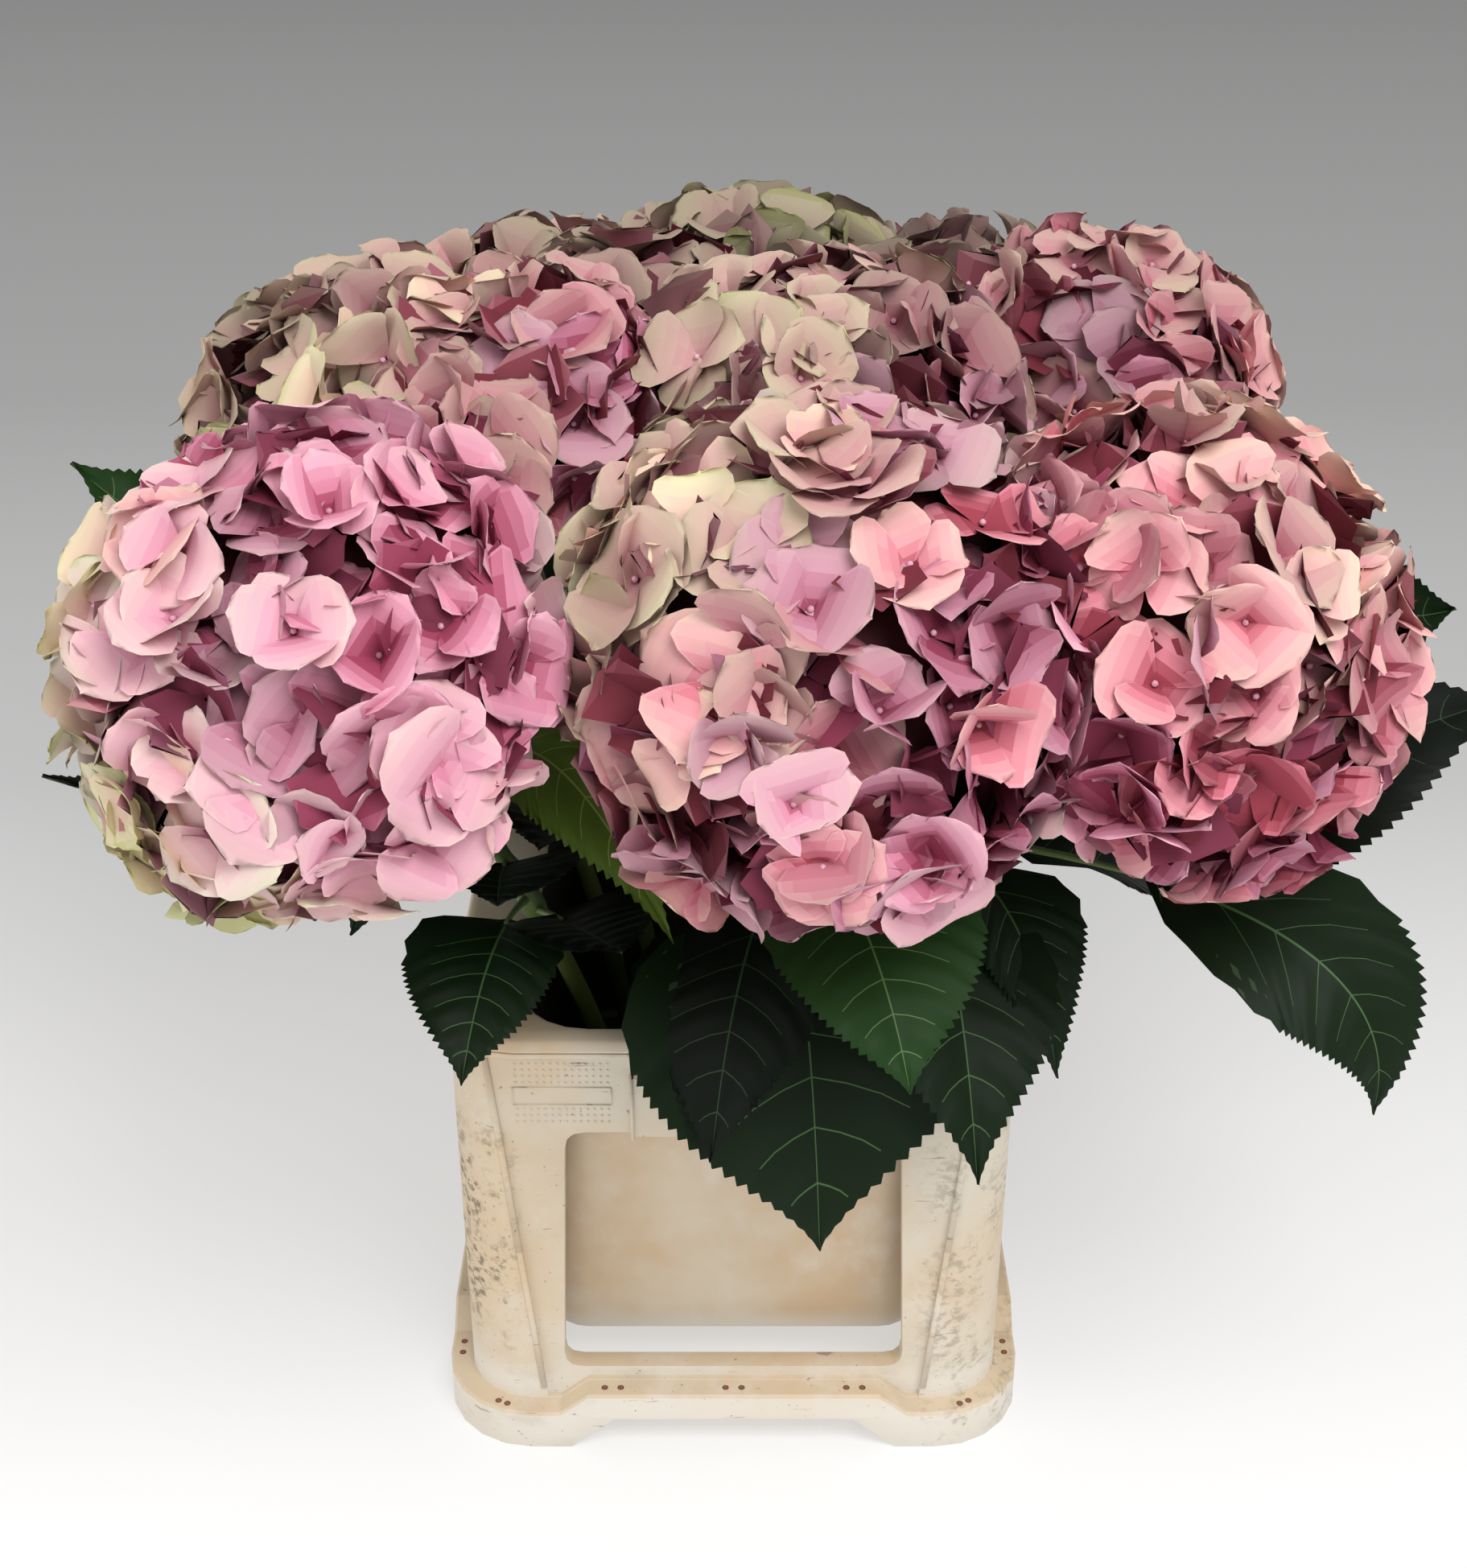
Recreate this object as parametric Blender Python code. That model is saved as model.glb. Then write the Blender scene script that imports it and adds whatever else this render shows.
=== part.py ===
"""Cut hydrangea stems with large round blooms, standing in a moulded flower bucket.

The bucket is an outer frame with a window in each side and a water vessel, which
hangs in it by its rim. The frame is parted level with the windows. Each stem is three
solids in line: the bare stem, the leafy length above the rim and the bloom. Lengths
are in metres, Z is up, and the front is towards -Y. The bucket's centre is at X = 0,
Y = 0 until the last step, which moves the whole object so that the middle of its base
is at the world origin.
"""

import math
import random

import bmesh
import bpy
from mathutils import Vector

GAP = 0.0003
UP = Vector((0, 0, 1))

# Bucket sizes
BODY_X = 0.138
BODY_Y = 0.188
BODY_RADIUS = 0.034
SIDE_EXTRA = BODY_Y - BODY_X
FRAME_TOP = 0.240
RIM_TOP = 0.248
COLUMN_WALL = 0.007
CORNER_STEPS = 5

FOOT_PROUD = 0.012
FOOT_WALL = 0.004
FOOT_EDGE = 0.0015
LEDGE_LOW = 0.023
LEDGE_HIGH = 0.035
LEDGE_SLOPE = (0.0745, 0.089)
ARCH_HIGH = 0.019
ARCH_SLOPE = (0.0616, 0.0837)

PANEL_DEPTH = 0.003
PANEL_TOP = 0.2375
PANEL_HALF_TOP = 0.1165
PANEL_HALF_BOTTOM = 0.096
PANEL_ABOVE_LEDGE = 0.0005

WINDOW_TOP = 0.192
WINDOW_BOTTOM = 0.0415
WINDOW_HALF_TOP = 0.0815
WINDOW_HALF_BOTTOM = 0.087
WINDOW_RADIUS = 0.010
LIP_WALL = 0.0035
LIP_REACH = 0.0135
CUT_PAST_WALL = 0.03
SEAM_IN_WINDOW = 0.002
SUNK_IN_PANEL = 0.001

BLOCK_HALF = 0.0485
BLOCK_TOP = 0.226
BLOCK_PROUD = 0.0005
BLOCK_OVER_WINDOW = 0.004

MOUTH_X = 0.101
MOUTH_Y = 0.175
MOUTH_RADIUS = 0.032
TUB_X = 0.099
TUB_Y = 0.147
TUB_RADIUS = 0.022
TUB_BOTTOM = 0.030
TUB_WALL = 0.0035
TUB_BASE_EDGE = 0.007
RIM_EDGE = 0.006
RIM_SOFTENING = 0.0018
MOUTH_EDGE = 0.003

# Stems, from the vessel's floor to the underside of the bloom
FLOOR = TUB_BOTTOM + TUB_WALL + GAP
FOOT_SPREAD = 0.27
FOOT_RISE = 0.17
BLOOM_LEAN = 0.11
STEM_RADIUS_FOOT = 0.0055
STEM_RADIUS_TOP = 0.0036
BARE_UP_TO = 0.272
LEAFY_TO = 0.84

# Leaves
PETIOLE_RADIUS = 0.0019
PETIOLE_SHARE = 0.26
BLADE_THICKNESS = 0.0016
BLADE_RISE = 0.62
BLADE_FALL = 0.80
BLADE_FOLD = 0.26
BLADE_STEPS = 5
RULE_WIDTH_SHARE = 0.58
RULE_RISE = 0.020
RULE_BEND = 0.6
RULE_DROP_LOW = 0.015
RULE_DROP_HIGH = 0.110

# Blooms
CORE_RINGS = 4
CORE_SIDES = 9
CORE_SHARE = 0.82
UNDERSIDE = 0.80
FLORETS = 18
FLORET_RADIUS = 0.0315
FLORET_ROOT = 0.030
FLORET_CUP = 0.007
LOWEST_FLORET = -0.72
MOST_PRESSED = 0.74
BLOOM_GAP = 0.0012
BLOOM_GAP_SPREAD = 0.0022

# Each bloom's centre, half width, height as a share of width, and the way it faces
BLOOMS = {
    "front_left": ((-0.172, -0.242, 0.468), 0.103, 0.74, (-0.28, -0.62, 0.60)),
    "front_middle": ((0.038, -0.240, 0.471), 0.107, 0.76, (0.05, -0.66, 0.62)),
    "front_right": ((0.195, -0.194, 0.459), 0.105, 0.76, (0.55, -0.48, 0.48)),
    "middle_left": ((-0.114, -0.075, 0.514), 0.086, 0.70, (-0.18, -0.25, 0.90)),
    "middle": ((0.037, -0.061, 0.517), 0.090, 0.70, (0.02, -0.22, 0.90)),
    "middle_right": ((0.190, 0.012, 0.508), 0.080, 0.76, (0.35, -0.25, 0.80)),
    "far_left": ((-0.196, 0.005, 0.501), 0.080, 0.70, (-0.45, 0.00, 0.80)),
    "centre_left": ((-0.052, 0.040, 0.512), 0.076, 0.70, (-0.05, 0.00, 0.95)),
    "centre_right": ((0.108, 0.056, 0.502), 0.070, 0.72, (0.15, 0.05, 0.95)),
    "back_middle": ((0.008, 0.135, 0.512), 0.078, 0.70, (0.00, 0.25, 0.90)),
    "back_right": ((0.131, 0.159, 0.483), 0.080, 0.70, (0.20, 0.45, 0.80)),
    "back_left": ((-0.106, 0.131, 0.494), 0.078, 0.70, (-0.15, 0.35, 0.85)),
    "rear_left": ((-0.073, 0.249, 0.438), 0.080, 0.72, (-0.25, 0.70, 0.60)),
    "rear_right": ((0.073, 0.265, 0.435), 0.080, 0.72, (0.20, 0.70, 0.60)),
}

# Leaves that show: how far up the leafy length, the tip, the blade's width, how far
# the leaf first rises, the share of its reach at which it bends down, and its roll
SHOWN_LEAVES = {
    "front_left": (
        (0.15, (-0.120, -0.250, 0.268), 0.074, 0.028, 0.6, 0),
        (0.10, (-0.070, -0.254, 0.300), 0.072, 0.018, 0.6, 0),
        (0.50, (-0.303, -0.188, 0.390), 0.042, 0.008, 0.6, 10),
        (0.40, (-0.196, -0.165, 0.300), 0.080, 0.020, 0.7, 15),
        (0.62, (-0.025, -0.262, 0.350), 0.060, 0.100, 0.35, -35),
    ),
    "front_middle": (
        (0.10, (0.042, -0.248, 0.168), 0.146, 0.040, 0.7, 24),
        (0.30, (-0.010, -0.272, 0.230), 0.096, 0.020, 0.7, -12),
        (0.55, (0.080, -0.294, 0.294), 0.100, 0.015, 0.7, 0),
    ),
    "front_right": (
        (0.10, (0.110, -0.254, 0.216), 0.094, 0.040, 0.6, 8),
        (0.30, (0.284, -0.250, 0.252), 0.074, 0.050, 1.05, -42),
        (0.48, (0.350, -0.142, 0.406), 0.124, 0.004, 0.5, -42),
        (0.22, (0.151, -0.204, 0.238), 0.060, 0.030, 0.7, 0),
    ),
    "middle_left": (
        (0.15, (-0.088, -0.180, 0.348), 0.080, 0.025, 0.5, 0),
        (0.40, (-0.070, -0.195, 0.385), 0.074, 0.010, 0.5, 0),
    ),
    "middle": ((0.30, (0.105, -0.185, 0.385), 0.080, 0.010, 0.5, 0),),
    "far_left": (
        (0.55, (-0.326, -0.010, 0.468), 0.096, 0.020, 0.6, 30),
        (0.25, (-0.262, -0.070, 0.340), 0.085, 0.015, 0.6, 20),
    ),
    "middle_right": (
        (0.55, (0.350, -0.060, 0.412), 0.104, 0.020, 0.75, -45),
        (0.45, (0.300, 0.060, 0.430), 0.078, 0.020, 0.6, -20),
        (0.62, (0.122, -0.072, 0.480), 0.052, 0.020, 0.6, 0),
    ),
}

# Leaves that do not show grow by rule, each as its share of the leafy length, the
# bearing that it faces, in degrees from +X towards +Y, and its reach
RULE_LEAVES = {
    "front_right": ((0.20, 0, 0.130), (0.20, 168, 0.160), (0.32, 96, 0.130)),
    "middle_left": ((0.20, 96, 0.100), (0.82, 204, 0.160)),
    "far_left": (
        (0.10, 195, 0.165),
        (0.20, 240, 0.160),
        (0.40, 158, 0.155),
        (0.70, 120, 0.160),
        (0.82, 206, 0.160),
    ),
    "middle_right": (
        (0.10, -12, 0.165),
        (0.30, 22, 0.150),
        (0.70, 300, 0.160),
        (0.82, 48, 0.160),
    ),
    "centre_left": ((0.82, 168, 0.115),),
    "back_middle": ((0.58, 156, 0.115), (0.82, 84, 0.115)),
    "back_right": ((0.10, 18, 0.160), (0.40, 42, 0.165), (0.75, 46, 0.150)),
    "back_left": ((0.10, 162, 0.155), (0.40, 138, 0.165), (0.75, 134, 0.150)),
    "rear_left": ((0.10, 112, 0.160), (0.45, 92, 0.150), (0.80, 125, 0.150)),
    "rear_right": ((0.10, 66, 0.155), (0.45, 86, 0.160), (0.80, 55, 0.150)),
}


def clear_scene():
    for old in list(bpy.data.objects):
        bpy.data.objects.remove(old, do_unlink=True)


def material(name, colour, roughness):
    made = bpy.data.materials.new(name)
    made.use_nodes = True
    shader = made.node_tree.nodes["Principled BSDF"]
    shader.inputs["Base Color"].default_value = (*colour, 1)
    shader.inputs["Roughness"].default_value = roughness
    made.diffuse_color = (*colour, 1)
    return made


def object_from(name, mesh_builder):
    """A linked object whose mesh holds the given bmesh, with its normals facing out."""
    bmesh.ops.recalc_face_normals(mesh_builder, faces=mesh_builder.faces)
    mesh = bpy.data.meshes.new(name)
    mesh_builder.to_mesh(mesh)
    mesh_builder.free()
    made = bpy.data.objects.new(name, mesh)
    bpy.context.scene.collection.objects.link(made)
    return made


def loft(name, rings, ring_joined=False):
    """A closed solid through rings of equal count; capped, or joined last to first."""
    builder = bmesh.new()
    rows = [[builder.verts.new(point) for point in ring] for ring in rings]
    count = len(rows[0])
    pairs = list(zip(rows, rows[1:]))
    if ring_joined:
        pairs.append((rows[-1], rows[0]))
    for low, high in pairs:
        for i in range(count):
            j = (i + 1) % count
            builder.faces.new((low[i], low[j], high[j], high[i]))
    if not ring_joined:
        builder.faces.new(rows[0])
        builder.faces.new(rows[-1])
    return object_from(name, builder)


def smooth(made, angle=40):
    made.data.shade_smooth()
    made.data.set_sharp_from_angle(angle=math.radians(angle))


def baked(made):
    """Applies the modifiers of an object to its mesh."""
    graph = bpy.context.evaluated_depsgraph_get()
    mesh = bpy.data.meshes.new_from_object(made.evaluated_get(graph))
    made.modifiers.clear()
    made.data = mesh


def boolean(made, operation, others):
    """Cuts others from the object, or fuses them to it, and removes them."""
    group = bpy.data.collections.new(made.name + "_others")
    bpy.context.scene.collection.children.link(group)
    for other in others:
        bpy.context.scene.collection.objects.unlink(other)
        group.objects.link(other)
    modifier = made.modifiers.new(operation.lower(), "BOOLEAN")
    modifier.operation = operation
    modifier.solver = "EXACT"
    modifier.operand_type = "COLLECTION"
    modifier.collection = group
    baked(made)
    for other in others:
        bpy.data.objects.remove(other, do_unlink=True)
    bpy.data.collections.remove(group)


def signed_volume(faces):
    total = 0.0
    for face in faces:
        first = face.verts[0].co
        for i in range(1, len(face.verts) - 1):
            total += first.dot(face.verts[i].co.cross(face.verts[i + 1].co))
    return total


def keep_main_body(made):
    """Drops loose scraps, and fills sealed hollows by dropping their walls."""
    builder = bmesh.new()
    builder.from_mesh(made.data)
    bodies = []
    unseen = set(builder.faces)
    while unseen:
        start = unseen.pop()
        body = [start]
        for face in body:
            for edge in face.edges:
                for other in edge.link_faces:
                    if other in unseen:
                        unseen.remove(other)
                        body.append(other)
        bodies.append(body)
    bodies.sort(key=signed_volume)
    for body in bodies[:-1]:
        bmesh.ops.delete(builder, geom=body, context="FACES")
    builder.to_mesh(made.data)
    builder.free()


# Bucket


def side_stations(extra):
    """Places along a side, from its middle, where the foot's top or bottom turns."""
    half = sorted(value + extra for value in (*LEDGE_SLOPE, *ARCH_SLOPE))
    return [-value for value in reversed(half)] + half


def ramp(distance, slope, high, low):
    inner, outer = slope
    share = min(max((distance - inner) / (outer - inner), 0), 1)
    return high + (low - high) * share


def outline(offset, with_stations=True):
    """Points of the body's outline moved out by offset, each with its distance from the
    middle of its side, or None on a corner."""
    points = []
    half_x = BODY_X + offset
    half_y = BODY_Y + offset
    radius = BODY_RADIUS + offset
    for side in range(4):
        turn = side * math.pi / 2
        along, out, extra = ((half_x, half_y, 0), (half_y, half_x, SIDE_EXTRA))[side % 2]
        direction = Vector((math.cos(turn), math.sin(turn)))
        outward = Vector((direction.y, -direction.x))
        if with_stations:
            for station in side_stations(extra):
                points.append((direction * station + outward * out, abs(station) - extra))
        centre = direction * (along - radius) + outward * (out - radius)
        for step in range(CORNER_STEPS + 1):
            angle = math.pi / 2 * step / CORNER_STEPS
            point = centre + radius * (outward * math.cos(angle) + direction * math.sin(angle))
            points.append((point, None))
    return points


def foot_levels(distance):
    if distance is None:
        return 0.0, LEDGE_LOW
    bottom = ramp(distance, ARCH_SLOPE, ARCH_HIGH, 0.0)
    ledge = ramp(distance, LEDGE_SLOPE, LEDGE_HIGH, LEDGE_LOW)
    return bottom, ledge


def wall_section(bottom, ledge):
    """The frame's section from the foot's outer edge up over the wall and back."""
    return (
        (FOOT_PROUD, bottom),
        (FOOT_PROUD, ledge - FOOT_EDGE),
        (FOOT_PROUD - FOOT_EDGE, ledge),
        (0.0, ledge),
        (0.0, FRAME_TOP),
        (-COLUMN_WALL, FRAME_TOP),
        (-COLUMN_WALL, ledge - FOOT_WALL),
        (FOOT_PROUD - FOOT_WALL, ledge - FOOT_WALL),
        (FOOT_PROUD - FOOT_WALL, bottom),
    )


def frame_shell():
    rings = []
    for step, offset in enumerate(level[0] for level in wall_section(0, 1)):
        ring = []
        for point, distance in outline(offset):
            height = wall_section(*foot_levels(distance))[step][1]
            ring.append(Vector((*point, height)))
        rings.append(ring)
    return loft("container_frame", rings, ring_joined=True)


def prism(name, profile, near, far, along_x):
    """Extrudes a profile of (across, height) points along Y, or along X."""
    ends = []
    for depth in (near, far):
        if along_x:
            ends.append([Vector((depth, across, height)) for across, height in profile])
        else:
            ends.append([Vector((across, depth, height)) for across, height in profile])
    return loft(name, ends)


def rounded(corners, radius, steps=3):
    """The polygon with each corner replaced by a short arc."""
    points = []
    for i, corner in enumerate(corners):
        here = Vector(corner)
        back = (Vector(corners[i - 1]) - here).normalized()
        ahead = (Vector(corners[(i + 1) % len(corners)]) - here).normalized()
        start = here + back * radius
        end = here + ahead * radius
        for step in range(steps + 1):
            share = step / steps
            points.append(
                start * (1 - share) ** 2 + here * 2 * share * (1 - share) + end * share**2
            )
    return [tuple(point) for point in points]


def window_profile(extra, grown):
    low = WINDOW_BOTTOM - grown
    high = WINDOW_TOP + grown
    half_low = WINDOW_HALF_BOTTOM + extra + grown
    half_high = WINDOW_HALF_TOP + extra + grown
    corners = ((-half_low, low), (half_low, low), (half_high, high), (-half_high, high))
    return rounded(corners, WINDOW_RADIUS + grown)


def panel_profile(extra):
    above_low = LEDGE_LOW + PANEL_ABOVE_LEDGE
    above_high = LEDGE_HIGH + PANEL_ABOVE_LEDGE
    half = [
        (LEDGE_SLOPE[0] + extra, above_high),
        (LEDGE_SLOPE[1] + extra, above_low),
        (PANEL_HALF_BOTTOM + extra, above_low),
        (PANEL_HALF_TOP + extra, PANEL_TOP),
    ]
    return half + [(-across, height) for across, height in reversed(half)]


def container_frame():
    """The outer frame in one piece: foot, walls, and a window in each side."""
    frame = frame_shell()
    recesses = []
    lips = []
    windows = []
    for along_x in (False, True):
        extra = SIDE_EXTRA if along_x else 0.0
        face = BODY_X if along_x else BODY_Y
        cut_end = face + CUT_PAST_WALL
        windows.append(
            prism("window", window_profile(extra, 0), -cut_end, cut_end, along_x)
        )
        for side in (-1, 1):
            recess = (side * (face - PANEL_DEPTH), side * cut_end)
            recesses.append(prism("recess", panel_profile(extra), *recess, along_x))
            sunk = side * (face - PANEL_DEPTH - SUNK_IN_PANEL)
            lip = (sunk, side * (face - LIP_REACH))
            lips.append(prism("lip", window_profile(extra, LIP_WALL), *lip, along_x))
            half = BLOCK_HALF + extra
            low = WINDOW_TOP - BLOCK_OVER_WINDOW
            profile = ((-half, low), (half, low), (half, BLOCK_TOP), (-half, BLOCK_TOP))
            block = (side * (face + BLOCK_PROUD), sunk)
            lips.append(prism("block", profile, *block, along_x))
    boolean(frame, "DIFFERENCE", recesses)
    boolean(frame, "UNION", lips)
    boolean(frame, "DIFFERENCE", windows)
    return frame


def frame_pieces():
    """The frame parted level with the windows: a foot, four corner posts and a band."""
    frame = container_frame()
    low = WINDOW_BOTTOM + SEAM_IN_WINDOW
    high = WINDOW_TOP - SEAM_IN_WINDOW
    wide = BODY_Y + CUT_PAST_WALL
    cuts = [
        ("container_foot", (-wide, wide), (-wide, wide), (-GAP, low)),
        ("container_band", (-wide, wide), (-wide, wide), (high, FRAME_TOP + GAP)),
    ]
    for end, depth in (("front", (-wide, 0.0)), ("back", (0.0, wide))):
        for side, across in (("left", (-wide, 0.0)), ("right", (0.0, wide))):
            cuts.append((f"container_post_{end}_{side}", across, depth, (low + GAP, high - GAP)))
    pieces = []
    for name, (left, right), depth, (bottom, top) in cuts:
        piece = bpy.data.objects.new(name, frame.data.copy())
        bpy.context.scene.collection.objects.link(piece)
        profile = ((left, bottom), (right, bottom), (right, top), (left, top))
        boolean(piece, "INTERSECT", [prism("cut", profile, *depth, False)])
        smooth(piece, 30)
        pieces.append(piece)
    bpy.data.objects.remove(frame, do_unlink=True)
    return pieces


def rounded_rectangle(half_x, half_y, radius, height):
    points = []
    for side in range(4):
        turn = side * math.pi / 2
        along, out = ((half_x, half_y), (half_y, half_x))[side % 2]
        direction = Vector((math.cos(turn), math.sin(turn)))
        outward = Vector((direction.y, -direction.x))
        centre = direction * (along - radius) + outward * (out - radius)
        for step in range(CORNER_STEPS + 1):
            angle = math.pi / 2 * step / CORNER_STEPS
            point = centre + radius * (outward * math.cos(angle) + direction * math.sin(angle))
            points.append(Vector((*point, height)))
    return points


def container_rim():
    """The flat rim that hangs the vessel on the frame."""
    under = FRAME_TOP + GAP
    soft = RIM_SOFTENING
    edge = MOUTH_EDGE
    levels = (
        (MOUTH_X, MOUTH_Y, MOUTH_RADIUS, under),
        (BODY_X, BODY_Y, BODY_RADIUS, under),
        (BODY_X, BODY_Y, BODY_RADIUS, RIM_TOP - RIM_EDGE),
        (BODY_X - soft, BODY_Y - soft, BODY_RADIUS - soft, RIM_TOP - soft),
        (BODY_X - RIM_EDGE, BODY_Y - RIM_EDGE, BODY_RADIUS - RIM_EDGE, RIM_TOP),
        (MOUTH_X + edge, MOUTH_Y + edge, MOUTH_RADIUS + edge, RIM_TOP),
        (MOUTH_X, MOUTH_Y, MOUTH_RADIUS, RIM_TOP - edge),
    )
    rings = [rounded_rectangle(*level) for level in levels]
    rim = loft("container_rim", rings, ring_joined=True)
    smooth(rim, 30)
    return rim


def container_vessel():
    """The vessel's walls and floor, up to the underside of its rim."""
    wall = TUB_WALL
    base = TUB_BASE_EDGE
    turn = base / 4
    levels = (
        (TUB_X - base, TUB_Y - base, TUB_RADIUS - base, TUB_BOTTOM),
        (TUB_X - turn, TUB_Y - turn, TUB_RADIUS - turn, TUB_BOTTOM + turn),
        (TUB_X, TUB_Y, TUB_RADIUS, TUB_BOTTOM + base),
        (MOUTH_X + wall, MOUTH_Y + wall, MOUTH_RADIUS + wall, FRAME_TOP),
        (MOUTH_X, MOUTH_Y, MOUTH_RADIUS, FRAME_TOP),
        (TUB_X - wall, TUB_Y - wall, TUB_RADIUS - wall, TUB_BOTTOM + base),
        (TUB_X - base, TUB_Y - base, TUB_RADIUS - base, TUB_BOTTOM + wall),
    )
    vessel = loft("container_vessel", [rounded_rectangle(*level) for level in levels])
    smooth(vessel, 30)
    return vessel


# Stems


def bloom_axes(name):
    """The way a bloom faces, and two directions square to it."""
    axis = Vector(BLOOMS[name][3]).normalized()
    side = axis.cross(UP).normalized()
    return axis, side, side.cross(axis)


def stem_point(name, share):
    """A point on the stem's centre line, from 0 at its foot to 1 inside the bloom."""
    centre, half, flatness, _ = BLOOMS[name]
    axis = bloom_axes(name)[0]
    foot = Vector((centre[0] * FOOT_SPREAD, centre[1] * 1.5 * FOOT_SPREAD, FLOOR))
    end = Vector(centre) - axis * half * flatness * 0.4
    bends = (foot, foot + UP * FOOT_RISE, end - axis * BLOOM_LEAN, end)
    rest = 1 - share
    weights = (rest**3, 3 * share * rest**2, 3 * share**2 * rest, share**3)
    return sum((bend * weight for bend, weight in zip(bends, weights)), Vector())


def stem_radius(share):
    return STEM_RADIUS_FOOT + (STEM_RADIUS_TOP - STEM_RADIUS_FOOT) * share


def share_at_height(name, height):
    low, high = 0.0, 1.0
    for _ in range(24):
        middle = (low + high) / 2
        if stem_point(name, middle).z < height:
            low = middle
        else:
            high = middle
    return low


def stem_tube(label, name, start, end, steps, sides):
    """The stem between two shares of its length: rings square to its centre line."""
    rings = []
    for step in range(steps + 1):
        share = start + (end - start) * step / steps
        centre = stem_point(name, share)
        tangent = (stem_point(name, share + 0.001) - stem_point(name, share - 0.001)).normalized()
        normal = tangent.cross(Vector((0, 1, 0))).normalized()
        across = tangent.cross(normal)
        ring = []
        for i in range(sides):
            angle = 2 * math.pi * i / sides
            out = normal * math.cos(angle) + across * math.sin(angle)
            ring.append(centre + out * stem_radius(share))
        rings.append(ring)
    return loft(label, rings)


def stem_spans(name):
    """Where the bare stem, the leafy length and the bloom's stalk start and end."""
    bare_end = share_at_height(name, BARE_UP_TO)
    starts = []
    for share in (bare_end, LEAFY_TO):
        speed = (stem_point(name, share + 0.001) - stem_point(name, share)).length / 0.001
        starts.append(share + GAP / speed)
    return (0.0, bare_end), (starts[0], LEAFY_TO), (starts[1], 1.0)


def bare_stem(name):
    start, end = stem_spans(name)[0]
    stem = stem_tube("stem_" + name, name, start, end, 6, 8)
    smooth(stem, 60)
    return stem


# Leaves


def leaf_line(root, tip, rise, bend):
    """Three bends of a curve that leaves the stem outward and bows down to the tip."""
    level = Vector((tip.x - root.x, tip.y - root.y, 0))
    return root, root + level * bend + UP * rise, tip


def on_line(bends, share):
    root, middle, tip = bends
    rest = 1 - share
    return root * rest**2 + middle * 2 * share * rest + tip * share**2


def blade_half(share, width):
    """Half the blade's width, from 0 at its base to 1 at its tip."""
    peak = BLADE_RISE / (BLADE_RISE + BLADE_FALL)
    top = peak**BLADE_RISE * (1 - peak) ** BLADE_FALL
    return width / 2 * share**BLADE_RISE * (1 - share) ** BLADE_FALL / top


def leaf_frame(bends, share, roll):
    """At a share of the leaf's length: the centre, the way across and the way up."""
    root, _, tip = bends
    centre = on_line(bends, share)
    tangent = (on_line(bends, share + 0.01) - on_line(bends, share - 0.01)).normalized()
    level = (tip - root).cross(UP).normalized()
    above = level.cross(tangent).normalized()
    angle = math.radians(roll) * min(share / PETIOLE_SHARE, 1)
    across = level * math.cos(angle) + above * math.sin(angle)
    return centre, across, across.cross(tangent).normalized()


def leaf_solid(label, root, tip, width, rise, bend, roll):
    bends = leaf_line(root, tip, rise, bend)
    rings = []
    for step in range(2):
        centre, flat, above = leaf_frame(bends, PETIOLE_SHARE * step * 0.85, roll)
        ring = []
        for turn in (180, 90, 0, -30, -90, -150):
            angle = math.radians(turn)
            ring.append(centre + PETIOLE_RADIUS * (flat * math.cos(angle) + above * math.sin(angle)))
        rings.append(ring)
    for step in range(1, BLADE_STEPS + 1):
        along = step / BLADE_STEPS
        share = PETIOLE_SHARE + (1 - PETIOLE_SHARE) * along
        centre, flat, above = leaf_frame(bends, share, roll)
        half = max(blade_half(along, width), 0.0008)
        lift = above * BLADE_THICKNESS / 2
        rise = above * half * BLADE_FOLD
        left = centre - flat * half + rise
        right = centre + flat * half + rise
        rings.append(
            [left + lift, centre + lift, right + lift, right - lift, centre - lift, left - lift]
        )
    return loft(label, rings)


def rule_leaves(name):
    """Leaves that face out of the bunch, the higher ones drooping more."""
    start, end = stem_spans(name)[1]
    leaves = []
    for along, bearing, length in RULE_LEAVES.get(name, ()):
        root = stem_point(name, start + (end - start) * along)
        angle = math.radians(bearing)
        drop = RULE_DROP_LOW + (RULE_DROP_HIGH - RULE_DROP_LOW) * along
        tip = root + Vector((math.cos(angle) * length, math.sin(angle) * length, -drop))
        width = RULE_WIDTH_SHARE * length
        leaves.append((along, tip, width, RULE_RISE, RULE_BEND, 0))
    return leaves


def foliage(name):
    start, end = stem_spans(name)[1]
    stem = stem_tube("foliage_" + name, name, start, end, 4, 6)
    leaves = []
    for along, tip, *shape in (*SHOWN_LEAVES.get(name, ()), *rule_leaves(name)):
        root = stem_point(name, start + (end - start) * along)
        leaves.append(leaf_solid("leaf", root, Vector(tip), *shape))
    if leaves:
        boolean(stem, "UNION", leaves)
        keep_main_body(stem)
    return stem


# Blooms


def reach(name, direction):
    """How far a bloom reaches from its centre towards a direction."""
    _, half, flatness, _ = BLOOMS[name]
    along = abs(direction.dot(bloom_axes(name)[0]))
    return half * math.sqrt((1 - along**2) + (along * flatness) ** 2)


def bloom_walls(name):
    """Planes that part a bloom from the ones it presses on: (direction, distance)."""
    centre = Vector(BLOOMS[name][0])
    walls = []
    for other, (place, _, _, _) in BLOOMS.items():
        if other == name:
            continue
        towards = Vector(place) - centre
        distance = towards.length
        towards.normalize()
        mine, theirs = reach(name, towards), reach(other, towards)
        if mine + theirs + 0.02 > distance:
            walls.append((towards, distance * mine / (mine + theirs)))
    return walls


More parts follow.
